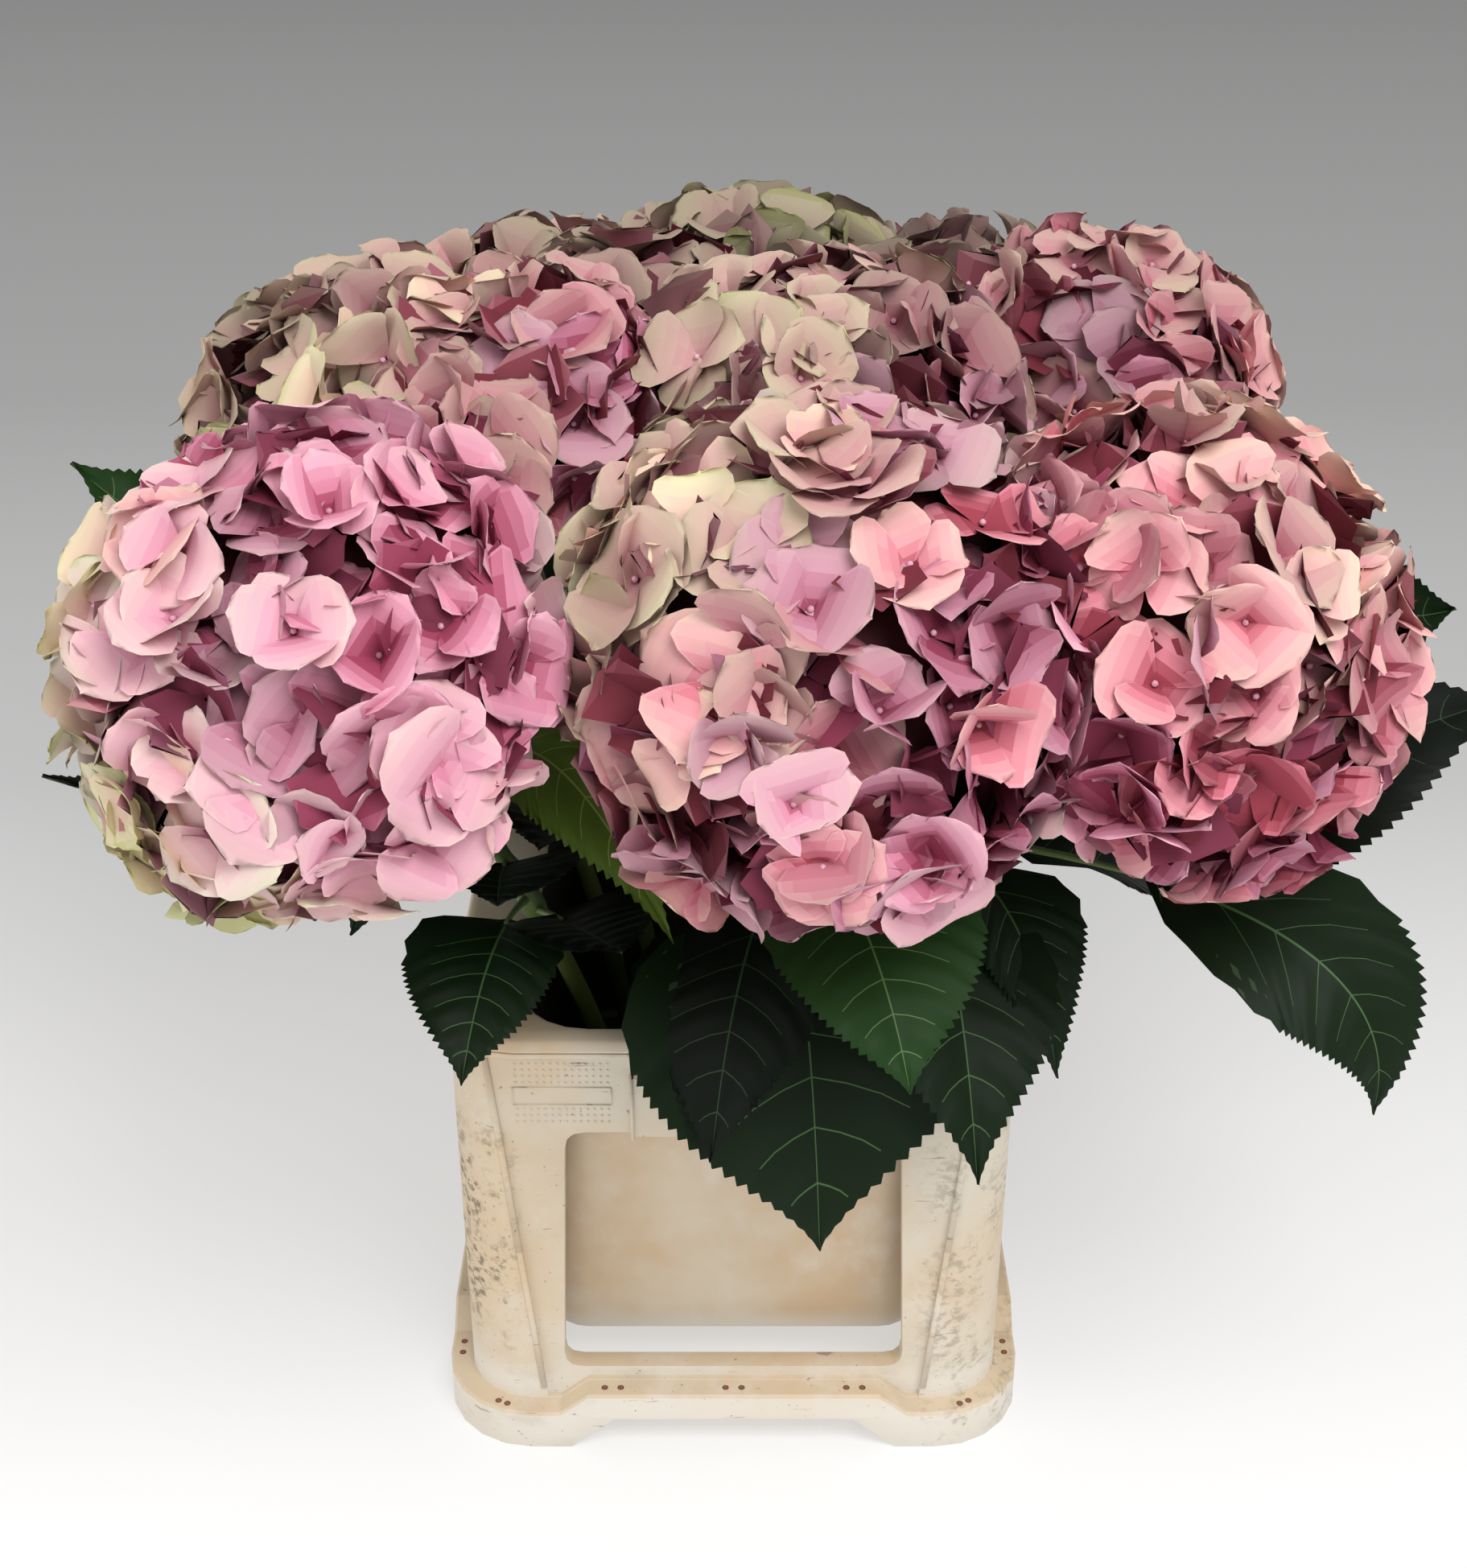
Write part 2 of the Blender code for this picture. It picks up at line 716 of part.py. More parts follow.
def kept_inside(point, centre, walls, gap):
    """The point, drawn towards the bloom's centre until it is inside every wall."""
    ray = point - centre
    share = 1.0
    for towards, distance in walls:
        ahead = ray.dot(towards)
        if ahead > distance - gap:
            share = min(share, (distance - gap) / ahead)
    return centre + ray * share


def bloom_point(name, turn, height):
    """A point of the bloom's outer shape, and the way it faces there."""
    centre, half, flatness, _ = BLOOMS[name]
    axis, side, cross = bloom_axes(name)
    tall = half * flatness * (1 if height > 0 else UNDERSIDE)
    round_part = math.sqrt(1 - height**2) * (side * math.cos(turn) + cross * math.sin(turn))
    place = Vector(centre) + round_part * half + axis * height * tall
    facing = (round_part / half + axis * height / tall).normalized()
    return place, facing


def bloom_core(name, walls):
    centre = Vector(BLOOMS[name][0])
    rings = []
    for step in range(1, CORE_RINGS + 1):
        height = -math.cos(math.pi * step / (CORE_RINGS + 1))
        ring = []
        for i in range(CORE_SIDES):
            turn = 2 * math.pi * (i + 0.5 * (step % 2)) / CORE_SIDES
            place, _ = bloom_point(name, turn, height)
            place = centre + (place - centre) * CORE_SHARE
            ring.append(kept_inside(place, centre, walls, BLOOM_GAP + BLOOM_GAP_SPREAD + 0.003))
        rings.append(ring)
    return loft("bloom_" + name, rings)


def floret(name, place, facing, spin, size, walls, chooser):
    """A closed four-lobed funnel whose root is sunk in the bloom's core."""
    centre = Vector(BLOOMS[name][0])
    side = facing.orthogonal().normalized()
    cross = facing.cross(side)
    root = place - facing * (FLORET_ROOT * size + FLORET_CUP)
    lobes = []
    for i in range(4):
        angle = spin + i * math.pi / 2
        radius = FLORET_RADIUS * size * chooser.uniform(0.92, 1.05)
        drop = chooser.uniform(0.0, 0.006) + radius**2 / 0.16
        out = side * math.cos(angle) + cross * math.sin(angle)
        lobes.append(place + out * radius - facing * drop)
    builder = bmesh.new()
    corners = []
    for point in (root, place - facing * FLORET_CUP, *lobes):
        gap = BLOOM_GAP + chooser.uniform(0, BLOOM_GAP_SPREAD)
        corners.append(builder.verts.new(kept_inside(point, centre, walls, gap)))
    foot, cup, rim = corners[0], corners[1], corners[2:]
    for lobe, after in zip(rim, rim[1:] + rim[:1]):
        builder.faces.new((lobe, after, cup))
        builder.faces.new((after, lobe, foot))
    return object_from("floret", builder)


def bloom(name):
    chooser = random.Random("florets " + name)
    centre = Vector(BLOOMS[name][0])
    walls = bloom_walls(name)
    core = bloom_core(name, walls)
    start, end = stem_spans(name)[2]
    pieces = [stem_tube("stalk", name, start, end, 2, 6)]
    golden = math.pi * (3 - math.sqrt(5))
    size = BLOOMS[name][1] / 0.1
    for i in range(FLORETS):
        height = 1 - (1 - LOWEST_FLORET) * (i + 0.5) / FLORETS
        turn = i * golden + chooser.uniform(-0.15, 0.15)
        place, facing = bloom_point(name, turn, height)
        spin = chooser.uniform(0, math.pi / 2)
        pressed = kept_inside(place, centre, walls, BLOOM_GAP) - centre
        if pressed.length < MOST_PRESSED * (place - centre).length:
            continue
        pieces.append(floret(name, place, facing, spin, size, walls, chooser))
    boolean(core, "UNION", pieces)
    keep_main_body(core)
    return core


def centre_on_base(objects):
    """Parents all objects to an empty that puts the middle of their base at the origin."""
    corners = []
    for made in objects:
        corners.extend(vertex.co for vertex in made.data.vertices)
    low_x, high_x = min(c.x for c in corners), max(c.x for c in corners)
    low_y, high_y = min(c.y for c in corners), max(c.y for c in corners)
    anchor = bpy.data.objects.new("bunch", None)
    bpy.context.scene.collection.objects.link(anchor)
    anchor.location = (-(low_x + high_x) / 2, -(low_y + high_y) / 2, 0)
    for made in objects:
        made.parent = anchor


def main():
    clear_scene()
    cream = (0.72, 0.62, 0.48)
    made = []
    for piece in (*frame_pieces(), container_vessel(), container_rim()):
        piece.data.materials.clear()
        piece.data.materials.append(material(piece.name, cream, 0.55))
        made.append(piece)
    for name in BLOOMS:
        for piece, colour, roughness in (
            (bare_stem(name), (0.14, 0.20, 0.06), 0.5),
            (foliage(name), (0.015, 0.06, 0.02), 0.4),
            (bloom(name), (0.72, 0.36, 0.42), 0.6),
        ):
            piece.data.materials.clear()
            piece.data.materials.append(material(piece.name, colour, roughness))
            made.append(piece)
    centre_on_base(made)


main()
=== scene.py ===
import math

import bmesh
import bpy
import numpy as np
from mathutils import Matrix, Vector


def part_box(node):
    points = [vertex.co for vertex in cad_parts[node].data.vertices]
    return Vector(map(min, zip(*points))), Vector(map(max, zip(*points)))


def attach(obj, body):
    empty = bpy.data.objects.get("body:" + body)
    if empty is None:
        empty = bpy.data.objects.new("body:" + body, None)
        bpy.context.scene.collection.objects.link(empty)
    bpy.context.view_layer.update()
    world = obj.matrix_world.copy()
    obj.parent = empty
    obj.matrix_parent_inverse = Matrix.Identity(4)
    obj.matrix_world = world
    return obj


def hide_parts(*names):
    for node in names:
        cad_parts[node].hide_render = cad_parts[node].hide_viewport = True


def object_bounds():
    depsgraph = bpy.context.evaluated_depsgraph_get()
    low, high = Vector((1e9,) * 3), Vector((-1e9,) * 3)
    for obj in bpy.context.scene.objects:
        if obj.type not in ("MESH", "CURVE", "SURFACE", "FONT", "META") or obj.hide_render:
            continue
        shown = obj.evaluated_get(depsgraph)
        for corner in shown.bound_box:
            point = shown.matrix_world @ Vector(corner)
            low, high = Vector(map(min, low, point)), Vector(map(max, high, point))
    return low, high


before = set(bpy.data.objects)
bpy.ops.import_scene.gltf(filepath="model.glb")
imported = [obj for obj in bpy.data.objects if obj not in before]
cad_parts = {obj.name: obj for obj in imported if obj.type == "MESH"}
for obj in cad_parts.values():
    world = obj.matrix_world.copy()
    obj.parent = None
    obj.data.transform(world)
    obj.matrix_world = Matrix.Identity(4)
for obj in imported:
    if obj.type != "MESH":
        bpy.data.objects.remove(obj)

CAD_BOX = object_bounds()

# The bucket's centre, from which all the places below are measured
low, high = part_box("container_foot")
SHIFT = np.array([(low[0] + high[0]) / 2, (low[1] + high[1]) / 2, 0.0])
UP = np.array([0.0, 0.0, 1.0])
GAP = 0.0003  # between neighbouring solids

# The outer frame's solids and the heights at which they are parted
POSTS = [f"container_post_{y}_{x}" for y in ("front", "back") for x in ("left", "right")]
FRAME_NODES = ("container_foot", "container_band", *POSTS)
FRAME_SEAMS = (0.0435, 0.190)

# Stems, as in the solid model
FLOOR = 0.0338
FOOT_SPREAD = 0.27
FOOT_SPREAD_DEEP = 1.5  # how much more the feet spread from front to back
FOOT_RISE = 0.17
BLOOM_LEAN = 0.11
STEM_END_SUNK = 0.4  # below the bloom's centre, as a share of its half height
STEM_RADIUS_FOOT = 0.0055
STEM_RADIUS_TOP = 0.0036
BARE_UP_TO = 0.272
LEAFY_TO = 0.84
TOP_FROM = LEAFY_TO + 0.002

# Finer stems
STEM_RINGS = 28
STEM_SIDES = 10
SWELLING = 0.32
SWELLING_LENGTH = 0.012
BARE_STEM_JOINTS = (0.12, 0.27)

# Leaves, whose stalks, outline and fold are as in the solid model
PETIOLE_RADIUS = 0.0019
PETIOLE_SHARE = 0.26
BLADE_RISE = 0.62
BLADE_FALL = 0.80
BLADE_FOLD = 0.26
RULE_WIDTH_SHARE = 0.58
RULE_RISE = 0.020
RULE_BEND = 0.6
RULE_DROP_LOW = 0.015
RULE_DROP_HIGH = 0.110

# Finer leaf relief
VEINS = 7
FIRST_VEIN = 0.15  # of the way to the next side vein
LAST_TOOTH = 0.985
VEIN_HALF = 0.0003
MIDRIB_HALF = 0.0007
MIDRIB_SUNK = 0.0007
VEIN_SWEEP = 0.40
TEETH = 3  # between one side vein and the next
TEETH_OUT_AND_IN = (1.0, -0.8)
TOOTH = 0.0012
TOOTH_FORWARD = 0.007
TOOTHED_FROM = 0.8  # of the way from the midrib to the edge
TIP_DRAWN = 0.80  # how much narrower the blade is at its tip
PUCKER = 0.0011
RUFFLE = 0.0022
SAG = 0.0016
LEAF_SHEET = 0.0005
PETIOLE_INTO_BLADE = 0.03
PETIOLE_TAPER = (1.25, 0.6)

# Blooms, as in the solid model
UNDERSIDE = 0.80

# Finer blooms
FLORET_SPACING = 0.0246
FLORET_DEPTH = 0.0145
FLORET_SUNK = (-0.005, 0.009)  # below that depth, from floret to floret
FLORET_TILT = 0.36
FLORET_SIZES = (0.86, 1.12)
LOWEST_FLORET = -0.80
FLORET_TURN_DRIFT = 0.25
FLORET_HEIGHT_DRIFT = 0.03
INNER_SPACING = 0.034
INNER_DEPTH = 0.021
INNER_STEPS = 3
CORE_DEPTH = 0.026
BUD_RADIUS = 0.0015

# Petals, with pairs for the least and the most from petal to petal
PETAL_LENGTH = 0.0280
PETAL_HALF_WIDTH = 0.0168
PETAL_STEPS = 8
PETAL_SIZES = (0.84, 1.14)
PETAL_WIDTHS = (0.90, 1.14)
PETAL_TURN_DRIFT = 0.18
PETAL_TWIST = 0.17
PETAL_FROM = 0.03  # along its line
PETAL_NECK = 0.50  # a petal's width at its base, as a share
PETAL_NECK_TO = 0.45
PETAL_CORNERS = 0.07  # its sides' fall back from its tip
CUP_AT_BASE = (0.25, 1.10)
CUP_TURN = (0.10, 1.30)
SIDES_RISE = (-0.05, 0.40)
RIM_SCALLOP = 0.05
WAVE = 0.0021
WAVE_SHARES = (0.4, 1.3)
CRINKLE = 0.0009
CRINKLE_SHARES = (0.3, 1.2)
PETAL_OVER_NEXT = 0.0009

# How blooms press on each other and keep inside the solid model's box
PRESSED_LIMIT = 0.60
PRESSED_WITHIN = 0.02
DRAWN_FROM = 0.99
DRAWN_TO = 1.13
BOX_EDGE = 0.005
BOX_CLEAR = 0.0003
BULGE = 0.03
BULGE_FROM = 0.30
WALL_OVERLAP = 0.012

# Each bloom's centre, half width, height as a share of width, and the way it faces, as
# in the solid model
BLOOMS = {
    "front_left": ((-0.172, -0.242, 0.468), 0.103, 0.74, (-0.28, -0.62, 0.60)),
    "front_middle": ((0.038, -0.240, 0.471), 0.107, 0.76, (0.05, -0.66, 0.62)),
    "front_right": ((0.195, -0.194, 0.459), 0.105, 0.76, (0.55, -0.48, 0.48)),
    "middle_left": ((-0.114, -0.075, 0.514), 0.086, 0.70, (-0.18, -0.25, 0.90)),
    "middle": ((0.037, -0.061, 0.517), 0.090, 0.70, (0.02, -0.22, 0.90)),
    "middle_right": ((0.190, 0.012, 0.508), 0.080, 0.76, (0.35, -0.25, 0.80)),
    "far_left": ((-0.196, 0.005, 0.501), 0.080, 0.70, (-0.45, 0.00, 0.80)),
    "centre_left": ((-0.052, 0.040, 0.512), 0.076, 0.70, (-0.05, 0.00, 0.95)),
    "centre_right": ((0.108, 0.056, 0.502), 0.070, 0.72, (0.15, 0.05, 0.95)),
    "back_middle": ((0.008, 0.135, 0.512), 0.078, 0.70, (0.00, 0.25, 0.90)),
    "back_right": ((0.131, 0.159, 0.483), 0.080, 0.70, (0.20, 0.45, 0.80)),
    "back_left": ((-0.106, 0.131, 0.494), 0.078, 0.70, (-0.15, 0.35, 0.85)),
    "rear_left": ((-0.073, 0.249, 0.438), 0.080, 0.72, (-0.25, 0.70, 0.60)),
    "rear_right": ((0.073, 0.265, 0.435), 0.080, 0.72, (0.20, 0.70, 0.60)),
}

# Each bloom's tone, from 0 for green cream to 6 for deep rose, the direction in which
# it turns to cream, by how much, how light it is, from 0 for dark to 3, which is painted
# light and shade, low for blooms that lie in shade, and its share of mauve florets
BLOOM_TONES = {
    "front_left": (3.1, (-0.75, 0.0, -0.65), 2.9, 2.9, 0.62),
    "front_middle": (3.8, (-0.7, 0.0, 0.5), 2.0, 2.3, 0.36),
    "front_right": (4.4, (0.5, 0.0, 0.6), 1.7, 2.5, 0.22),
    "middle_left": (3.5, (-0.6, 0.0, 0.6), 2.6, 2.3, 0.12),
    "middle": (3.0, (-0.5, 0.0, 0.7), 1.6, 1.5, 0.12),
    "middle_right": (4.0, (0.3, 0.0, 0.9), 1.3, 2.0, 0.25),
    "far_left": (2.2, (-0.6, 0.0, 0.6), 1.2, 1.6, 0.05),
    "centre_left": (2.6, (0.0, 0.0, 1.0), 1.0, 0.9, 0.05),
    "centre_right": (2.6, (0.0, 0.0, 1.0), 1.0, 0.8, 0.05),
    "back_middle": (1.5, (0.3, 0.0, 0.9), 1.4, 0.9, 0.00),
    "back_right": (2.6, (0.3, 0.0, 0.9), 0.8, 0.2, 0.00),
    "back_left": (2.7, (-0.3, 0.0, 0.9), 1.0, 1.4, 0.05),
    "rear_left": (3.3, (-0.5, 0.0, 0.5), 1.4, 2.3, 0.40),
    "rear_right": (3.6, (0.5, 0.0, 0.5), 1.4, 2.3, 0.20),
}

# Leaves that show: how far up the leafy length, the tip, the blade's width, how far the
# leaf first rises, the share of its reach at which it bends down, its roll, and its tone,
# which is partly painted light and shade.
# A few in front are wider or end higher than in the solid model, and one is added
SHOWN_LEAVES = {
    "front_left": (
        (0.15, (-0.120, -0.250, 0.268), 0.074, 0.028, 0.6, 0, "mid"),
        (0.10, (-0.048, -0.240, 0.332), 0.076, 0.030, 0.6, 0, "dark"),
        (0.50, (-0.303, -0.188, 0.390), 0.042, 0.008, 0.6, 10, "dark"),
        (0.40, (-0.196, -0.165, 0.300), 0.080, 0.020, 0.7, 15, "dark"),
        (0.62, (-0.025, -0.262, 0.350), 0.050, 0.100, 0.35, -35, "lime"),
        (0.30, (-0.104, -0.212, 0.338), 0.094, 0.030, 0.6, 0, "dark"),
    ),
    "front_middle": (
        (0.10, (0.040, -0.248, 0.172), 0.186, 0.040, 0.7, 8, "mid"),
        (0.30, (-0.010, -0.272, 0.243), 0.096, 0.020, 0.7, -12, "dark"),
        (0.55, (0.074, -0.294, 0.296), 0.100, 0.015, 0.7, 0, "light"),
    ),
    "front_right": (
        (0.10, (0.110, -0.254, 0.216), 0.094, 0.040, 0.6, 8, "mid"),
        (0.30, (0.284, -0.250, 0.252), 0.074, 0.050, 1.05, -42, "mid"),
        (0.48, (0.350, -0.142, 0.406), 0.124, 0.004, 0.5, -42, "dark"),
        (0.22, (0.151, -0.204, 0.238), 0.060, 0.030, 0.7, 0, "mid"),
    ),
    "middle_left": (
        (0.15, (-0.088, -0.180, 0.348), 0.080, 0.025, 0.5, 0, "dark"),
        (0.40, (-0.070, -0.195, 0.385), 0.074, 0.010, 0.5, 0, "dark"),
    ),
    "middle": ((0.30, (0.105, -0.185, 0.385), 0.080, 0.010, 0.5, 0, "dark"),),
    "far_left": (
        (0.55, (-0.326, -0.010, 0.468), 0.096, 0.020, 0.6, 30, "light"),
        (0.25, (-0.262, -0.070, 0.340), 0.085, 0.015, 0.6, 20, "dark"),
    ),
    "middle_right": (
        (0.55, (0.350, -0.060, 0.412), 0.104, 0.020, 0.75, -45, "mid"),
        (0.45, (0.300, 0.060, 0.430), 0.078, 0.020, 0.6, -20, "mid"),
        (0.62, (0.122, -0.072, 0.480), 0.052, 0.020, 0.6, 0, "dark"),
    ),
}

# Leaves that do not show grow by rule, each as its share of the leafy length, the
# bearing that it faces, in degrees from +X towards +Y, and its reach
RULE_LEAVES = {
    "front_right": ((0.20, 0, 0.130), (0.20, 168, 0.160), (0.32, 96, 0.130)),
    "middle_left": ((0.20, 96, 0.100), (0.82, 204, 0.160)),
    "far_left": (
        (0.10, 195, 0.165),
        (0.20, 240, 0.160),
        (0.40, 158, 0.155),
        (0.70, 120, 0.160),
        (0.82, 206, 0.160),
    ),
    "middle_right": (
        (0.10, -12, 0.165),
        (0.30, 22, 0.150),
        (0.70, 300, 0.160),
        (0.82, 48, 0.160),
    ),
    "centre_left": ((0.82, 168, 0.115),),
    "back_middle": ((0.58, 156, 0.115), (0.82, 84, 0.115)),
    "back_right": ((0.10, 18, 0.160), (0.40, 42, 0.165), (0.75, 46, 0.150)),
    "back_left": ((0.10, 162, 0.155), (0.40, 138, 0.165), (0.75, 134, 0.150)),
    "rear_left": ((0.10, 112, 0.160), (0.45, 92, 0.150), (0.80, 125, 0.150)),
    "rear_right": ((0.10, 66, 0.155), (0.45, 86, 0.160), (0.80, 55, 0.150)),
}

# Colours, as seen on screen
PETAL_STOPS = (
    (0.80, 0.79, 0.54),
    (0.90, 0.85, 0.71),
    (0.92, 0.80, 0.72),
    (0.92, 0.74, 0.71),
    (0.91, 0.66, 0.68),
    (0.86, 0.52, 0.58),
    (0.64, 0.27, 0.33),
)
MAUVE_STOPS = (
    (0.80, 0.80, 0.60),
    (0.90, 0.86, 0.77),
    (0.92, 0.81, 0.79),
    (0.92, 0.74, 0.76),
    (0.91, 0.68, 0.75),
    (0.86, 0.56, 0.66),
    (0.66, 0.29, 0.40),
)
PETAL_SHADES = 3  # from each stop to the next
LAST_SHADE = (len(PETAL_STOPS) - 1) * PETAL_SHADES
# Each shade in lit and shaded copies: painted light and shade
PETAL_PAINTED_LIGHTS = (0.56, 0.69, 0.82, 0.94)

# How tones, counted in stops, and painted lights vary within a bloom
UNDERSIDE_PALER = 2.2
TONE_BY_FLORET = 0.45
TONE_BY_PETAL = 0.20
LIGHT_BY_FLORET = 0.35
# Petals are deeper at their base: partly their own colour, partly painted shade in the creases
BASE_DEEPER = 3.0
TIP_PALER = 1.0
SIDES_PALER = 0.8
# Painted shade in the bloom: sunk florets and the inner layer are deeper in tone and darker
SUNK_SHADE_STOPS = 80  # for each metre
SHADE_DARKER_LIGHTS = 0.55
INNER_SHADE_STOPS = 2.6
MAUVE_BY_FLORET = 0.7
BRIGHTEST = 0.97

# Each leaf tone's colours, as seen on screen: its blade and its veins. The dark tone is
# partly painted shade, for leaves in shade, and the light and lime tones partly painted
# light, for lit leaves; the rest is the leaves' own greens
LEAF_TONES = {
    "dark": ((0.022, 0.056, 0.022), (0.150, 0.240, 0.140)),
    "mid": ((0.048, 0.118, 0.038), (0.250, 0.370, 0.215)),
    "light": ((0.110, 0.220, 0.080), (0.320, 0.440, 0.250)),
    "lime": ((0.300, 0.390, 0.130), (0.480, 0.560, 0.300)),
}
LEAF_UNDER_TINT = (0.34, 0.42, 0.26)
LEAF_STALK = (0.36, 0.44, 0.24)

# The bucket's plastic, as seen on screen, fresh and tanned
SHELL_COLOURS = ((0.835, 0.800, 0.730), (0.815, 0.730, 0.610))
VESSEL_COLOURS = ((0.835, 0.780, 0.690), (0.800, 0.690, 0.550))
LOW_SIDE_COLOUR = (0.88, 0.86, 0.82)
GRIME_COLOUR = (0.40, 0.36, 0.28)
PLASTIC_ROUGHNESS = (0.42, 0.68)

# Marks on the plastic: the scale, detail, stretch and place of their noise, the values
# between which they set in, their strength and their colour
FADED = (26, 5, (1, 1, 0.6), (3, 1, 2), 0.52, 0.72, 0.5, (0.87, 0.84, 0.80))
FILM = (22, 7, (1, 1, 1.5), (1, 8, 3), 0.55, 0.75, 0.30, (0.62, 0.57, 0.50))
SCRATCHES = (60, 4, (0.5, 1, 5.5), (2, 2, 9), 0.655, 0.70, 0.55, (0.40, 0.35, 0.29))
SPECKS = (330, 2, (1, 1, 1), (5, 5, 5), 0.70, 0.74, 0.6, (0.30, 0.25, 0.20))

# Bucket edges, with their angles in degrees
SHELL_ROUNDING = 0.0009
VESSEL_ROUNDING = 0.0010
WELD = 0.00002
FLAT_WITHIN = 0.4
ROUNDED_FROM = 28
SHARP_FROM = 32

# Label fields at the top of the front and back: rows of studs round a framed blank
FACE = 0.188
FIELD_SUNK = 0.003
STUD_COLUMNS = (0.060, 0.104, 14)
STUD_LEVELS = (0.1985, 0.2022, 0.2059, 0.2215, 0.2252, 0.2289, 0.2326)
STUD_RADIUS = 0.00085
STUD_HEIGHT = 0.0006
LABEL_SIDES = (0.0585, 0.1055)
LABEL_LEVELS = (0.2085, 0.2187)

# Ribs: their lines, then their half width and height
COLUMN_LINE = ((0.1178, 0.1850, 0.236), (0.1065, 0.1877, 0.120), (0.0978, 0.188, 0.030))
BLOCK_EDGE = 0.0485
BLOCK_LEVELS = (0.190, 0.226)
LABEL_RIB = (0.0004, 0.0005)
COLUMN_RIB = (0.0016, 0.0011)
BLOCK_RIB = (0.0011, 0.0046)

# Holes in a quarter of the foot's ledges, mirrored in the others
HOLE_RADII = (0.0017, 0.0013, 0.00001)
HOLE_SUNK = 0.00004
HOLES = (
    (0.0041, 0.1937, 0.0351),
    (0.0579, 0.1937, 0.0351),
    (0.0661, 0.1937, 0.0351),
    (0.1168, 0.1925, 0.0231),
    (0.1215, 0.1905, 0.0231),
    (0.1437, 0.1551, 0.0231),
    (0.1437, 0.1469, 0.0231),
    (0.1437, 0.0661, 0.0351),
    (0.1437, 0.0579, 0.0351),
    (0.1437, 0.0041, 0.0351),
)

# Studio
FLOOR_SIZE = 24
FLOOR_BACK = 4
# The floor's painted light: its colour and its glow fade from pale in front to grey behind
FADE_FROM = -0.3
FADE_TO = 4.2
FADE_PLACES = (0.0, 0.035, 0.082, 0.181, 0.387, 1.0)
FADE_VALUES = (0.985, 0.910, 0.845, 0.575, 0.405, 0.292)
WORLD_COLOUR = (1.0, 0.98, 0.97, 1)
WORLD_STRENGTH = 0.70
LIGHTS = (
    ("key", (0.5, -1.1, 1.8), 1.0, 25),
    ("fill", (-1.8, -1.0, 1.1), 1.6, 9),
)
LIT_POINT = (0, 0, 0.35)
CAMERA_BACK = 1.040
CAMERA_HEIGHT = 0.854
CAMERA_DOWN = 28.8
FOCAL_PIXELS = 2750
PHOTO_HEIGHT_PIXELS = 1949
SENSOR_HEIGHT = 36


def linear(colour):
    return tuple(c / 12.92 if c <= 0.04045 else ((c + 0.055) / 1.055) ** 2.4 for c in colour)


def unit(vectors):
    return vectors / np.linalg.norm(vectors, axis=-1, keepdims=True)


def around(side, cross, turn):
    """A way turned by an angle from the side way towards the cross way."""
    return side * np.cos(turn) + cross * np.sin(turn)


def linked(name, data):
    """A new object of the scene."""
    made = bpy.data.objects.new(name, data)
    bpy.context.scene.collection.objects.link(made)
    return made


def plain_material(name, colour, roughness, specular=0.5):
    made = bpy.data.materials.new(name)
    made.use_nodes = True
    shader = made.node_tree.nodes["Principled BSDF"]
    shader.inputs["Base Color"].default_value = (*linear(colour), 1)
    shader.inputs["Roughness"].default_value = roughness
    shader.inputs["Specular IOR Level"].default_value = specular
    return made


class Parts:
    """Points and four-sided faces, each face with the number of its colour."""

    def __init__(self):
        self.points = []
        self.faces = []
        self.colours = []
        self.count = 0

    def grids(self, points, colours, closed=False):
        """Adds grids of points, an array of (grids, rows, columns, 3), with a colour for
        each face. A closed grid joins its last column to its first."""
        total, rows, columns, _ = points.shape
        index = np.arange(total * rows * columns).reshape(total, rows, columns) + self.count
        if closed:
            index = np.concatenate([index, index[:, :, :1]], axis=2)
        corners = (index[:, :-1, :-1], index[:, :-1, 1:], index[:, 1:, 1:], index[:, 1:, :-1])
        faces = np.stack(corners, axis=-1).reshape(-1, 4)
        self.points.append(points.reshape(-1, 3))
        self.faces.append(faces)
        shape = index[:, :-1, :-1].shape
        self.colours.append(np.broadcast_to(colours, shape).reshape(-1))
        self.count += total * rows * columns

    def piece(self, name, materials):
        points = np.concatenate(self.points) + SHIFT
        faces = np.concatenate(self.faces)
        mesh = bpy.data.meshes.new(name)
        mesh.vertices.add(len(points))
        mesh.vertices.foreach_set("co", points.ravel())
        mesh.loops.add(faces.size)
        mesh.loops.foreach_set("vertex_index", faces.ravel().astype(np.int32))
        mesh.polygons.add(len(faces))
        mesh.polygons.foreach_set("loop_start", np.arange(0, faces.size, 4, dtype=np.int32))
        for material in materials:
            mesh.materials.append(material)
        colours = np.concatenate(self.colours).astype(np.int32)
        mesh.polygons.foreach_set("material_index", colours)
        mesh.update(calc_edges=True)
        mesh.validate()
        mesh.shade_smooth()
        made = linked(name, mesh)
        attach(made, "root")
        return made


def tube(parts, centres, radii, sides, colour):
    """A tube of rings square to a line of centres, with its ends drawn in."""
    centres = np.asarray(centres)
    tangent = unit(np.gradient(centres, axis=0))
    normal = unit(np.cross(tangent, (0.13, 0.97, 0.2)))
    across = np.cross(tangent, normal)
    turn = (np.arange(sides) * 2 * math.pi / sides)[None, :, None]
    out = around(normal[:, None], across[:, None], turn)
    rings = centres[:, None] + out * np.asarray(radii)[:, None, None]
    ends = (centres[:1, None] + out[:1] * 1e-5, rings, centres[-1:, None] + out[-1:] * 1e-5)
    parts.grids(np.concatenate(ends)[None], colour, closed=True)


# Stems


def bloom_axes(name):
    axis = unit(np.array(BLOOMS[name][3]))
    side = unit(np.cross(axis, UP))
    return axis, side, np.cross(side, axis)


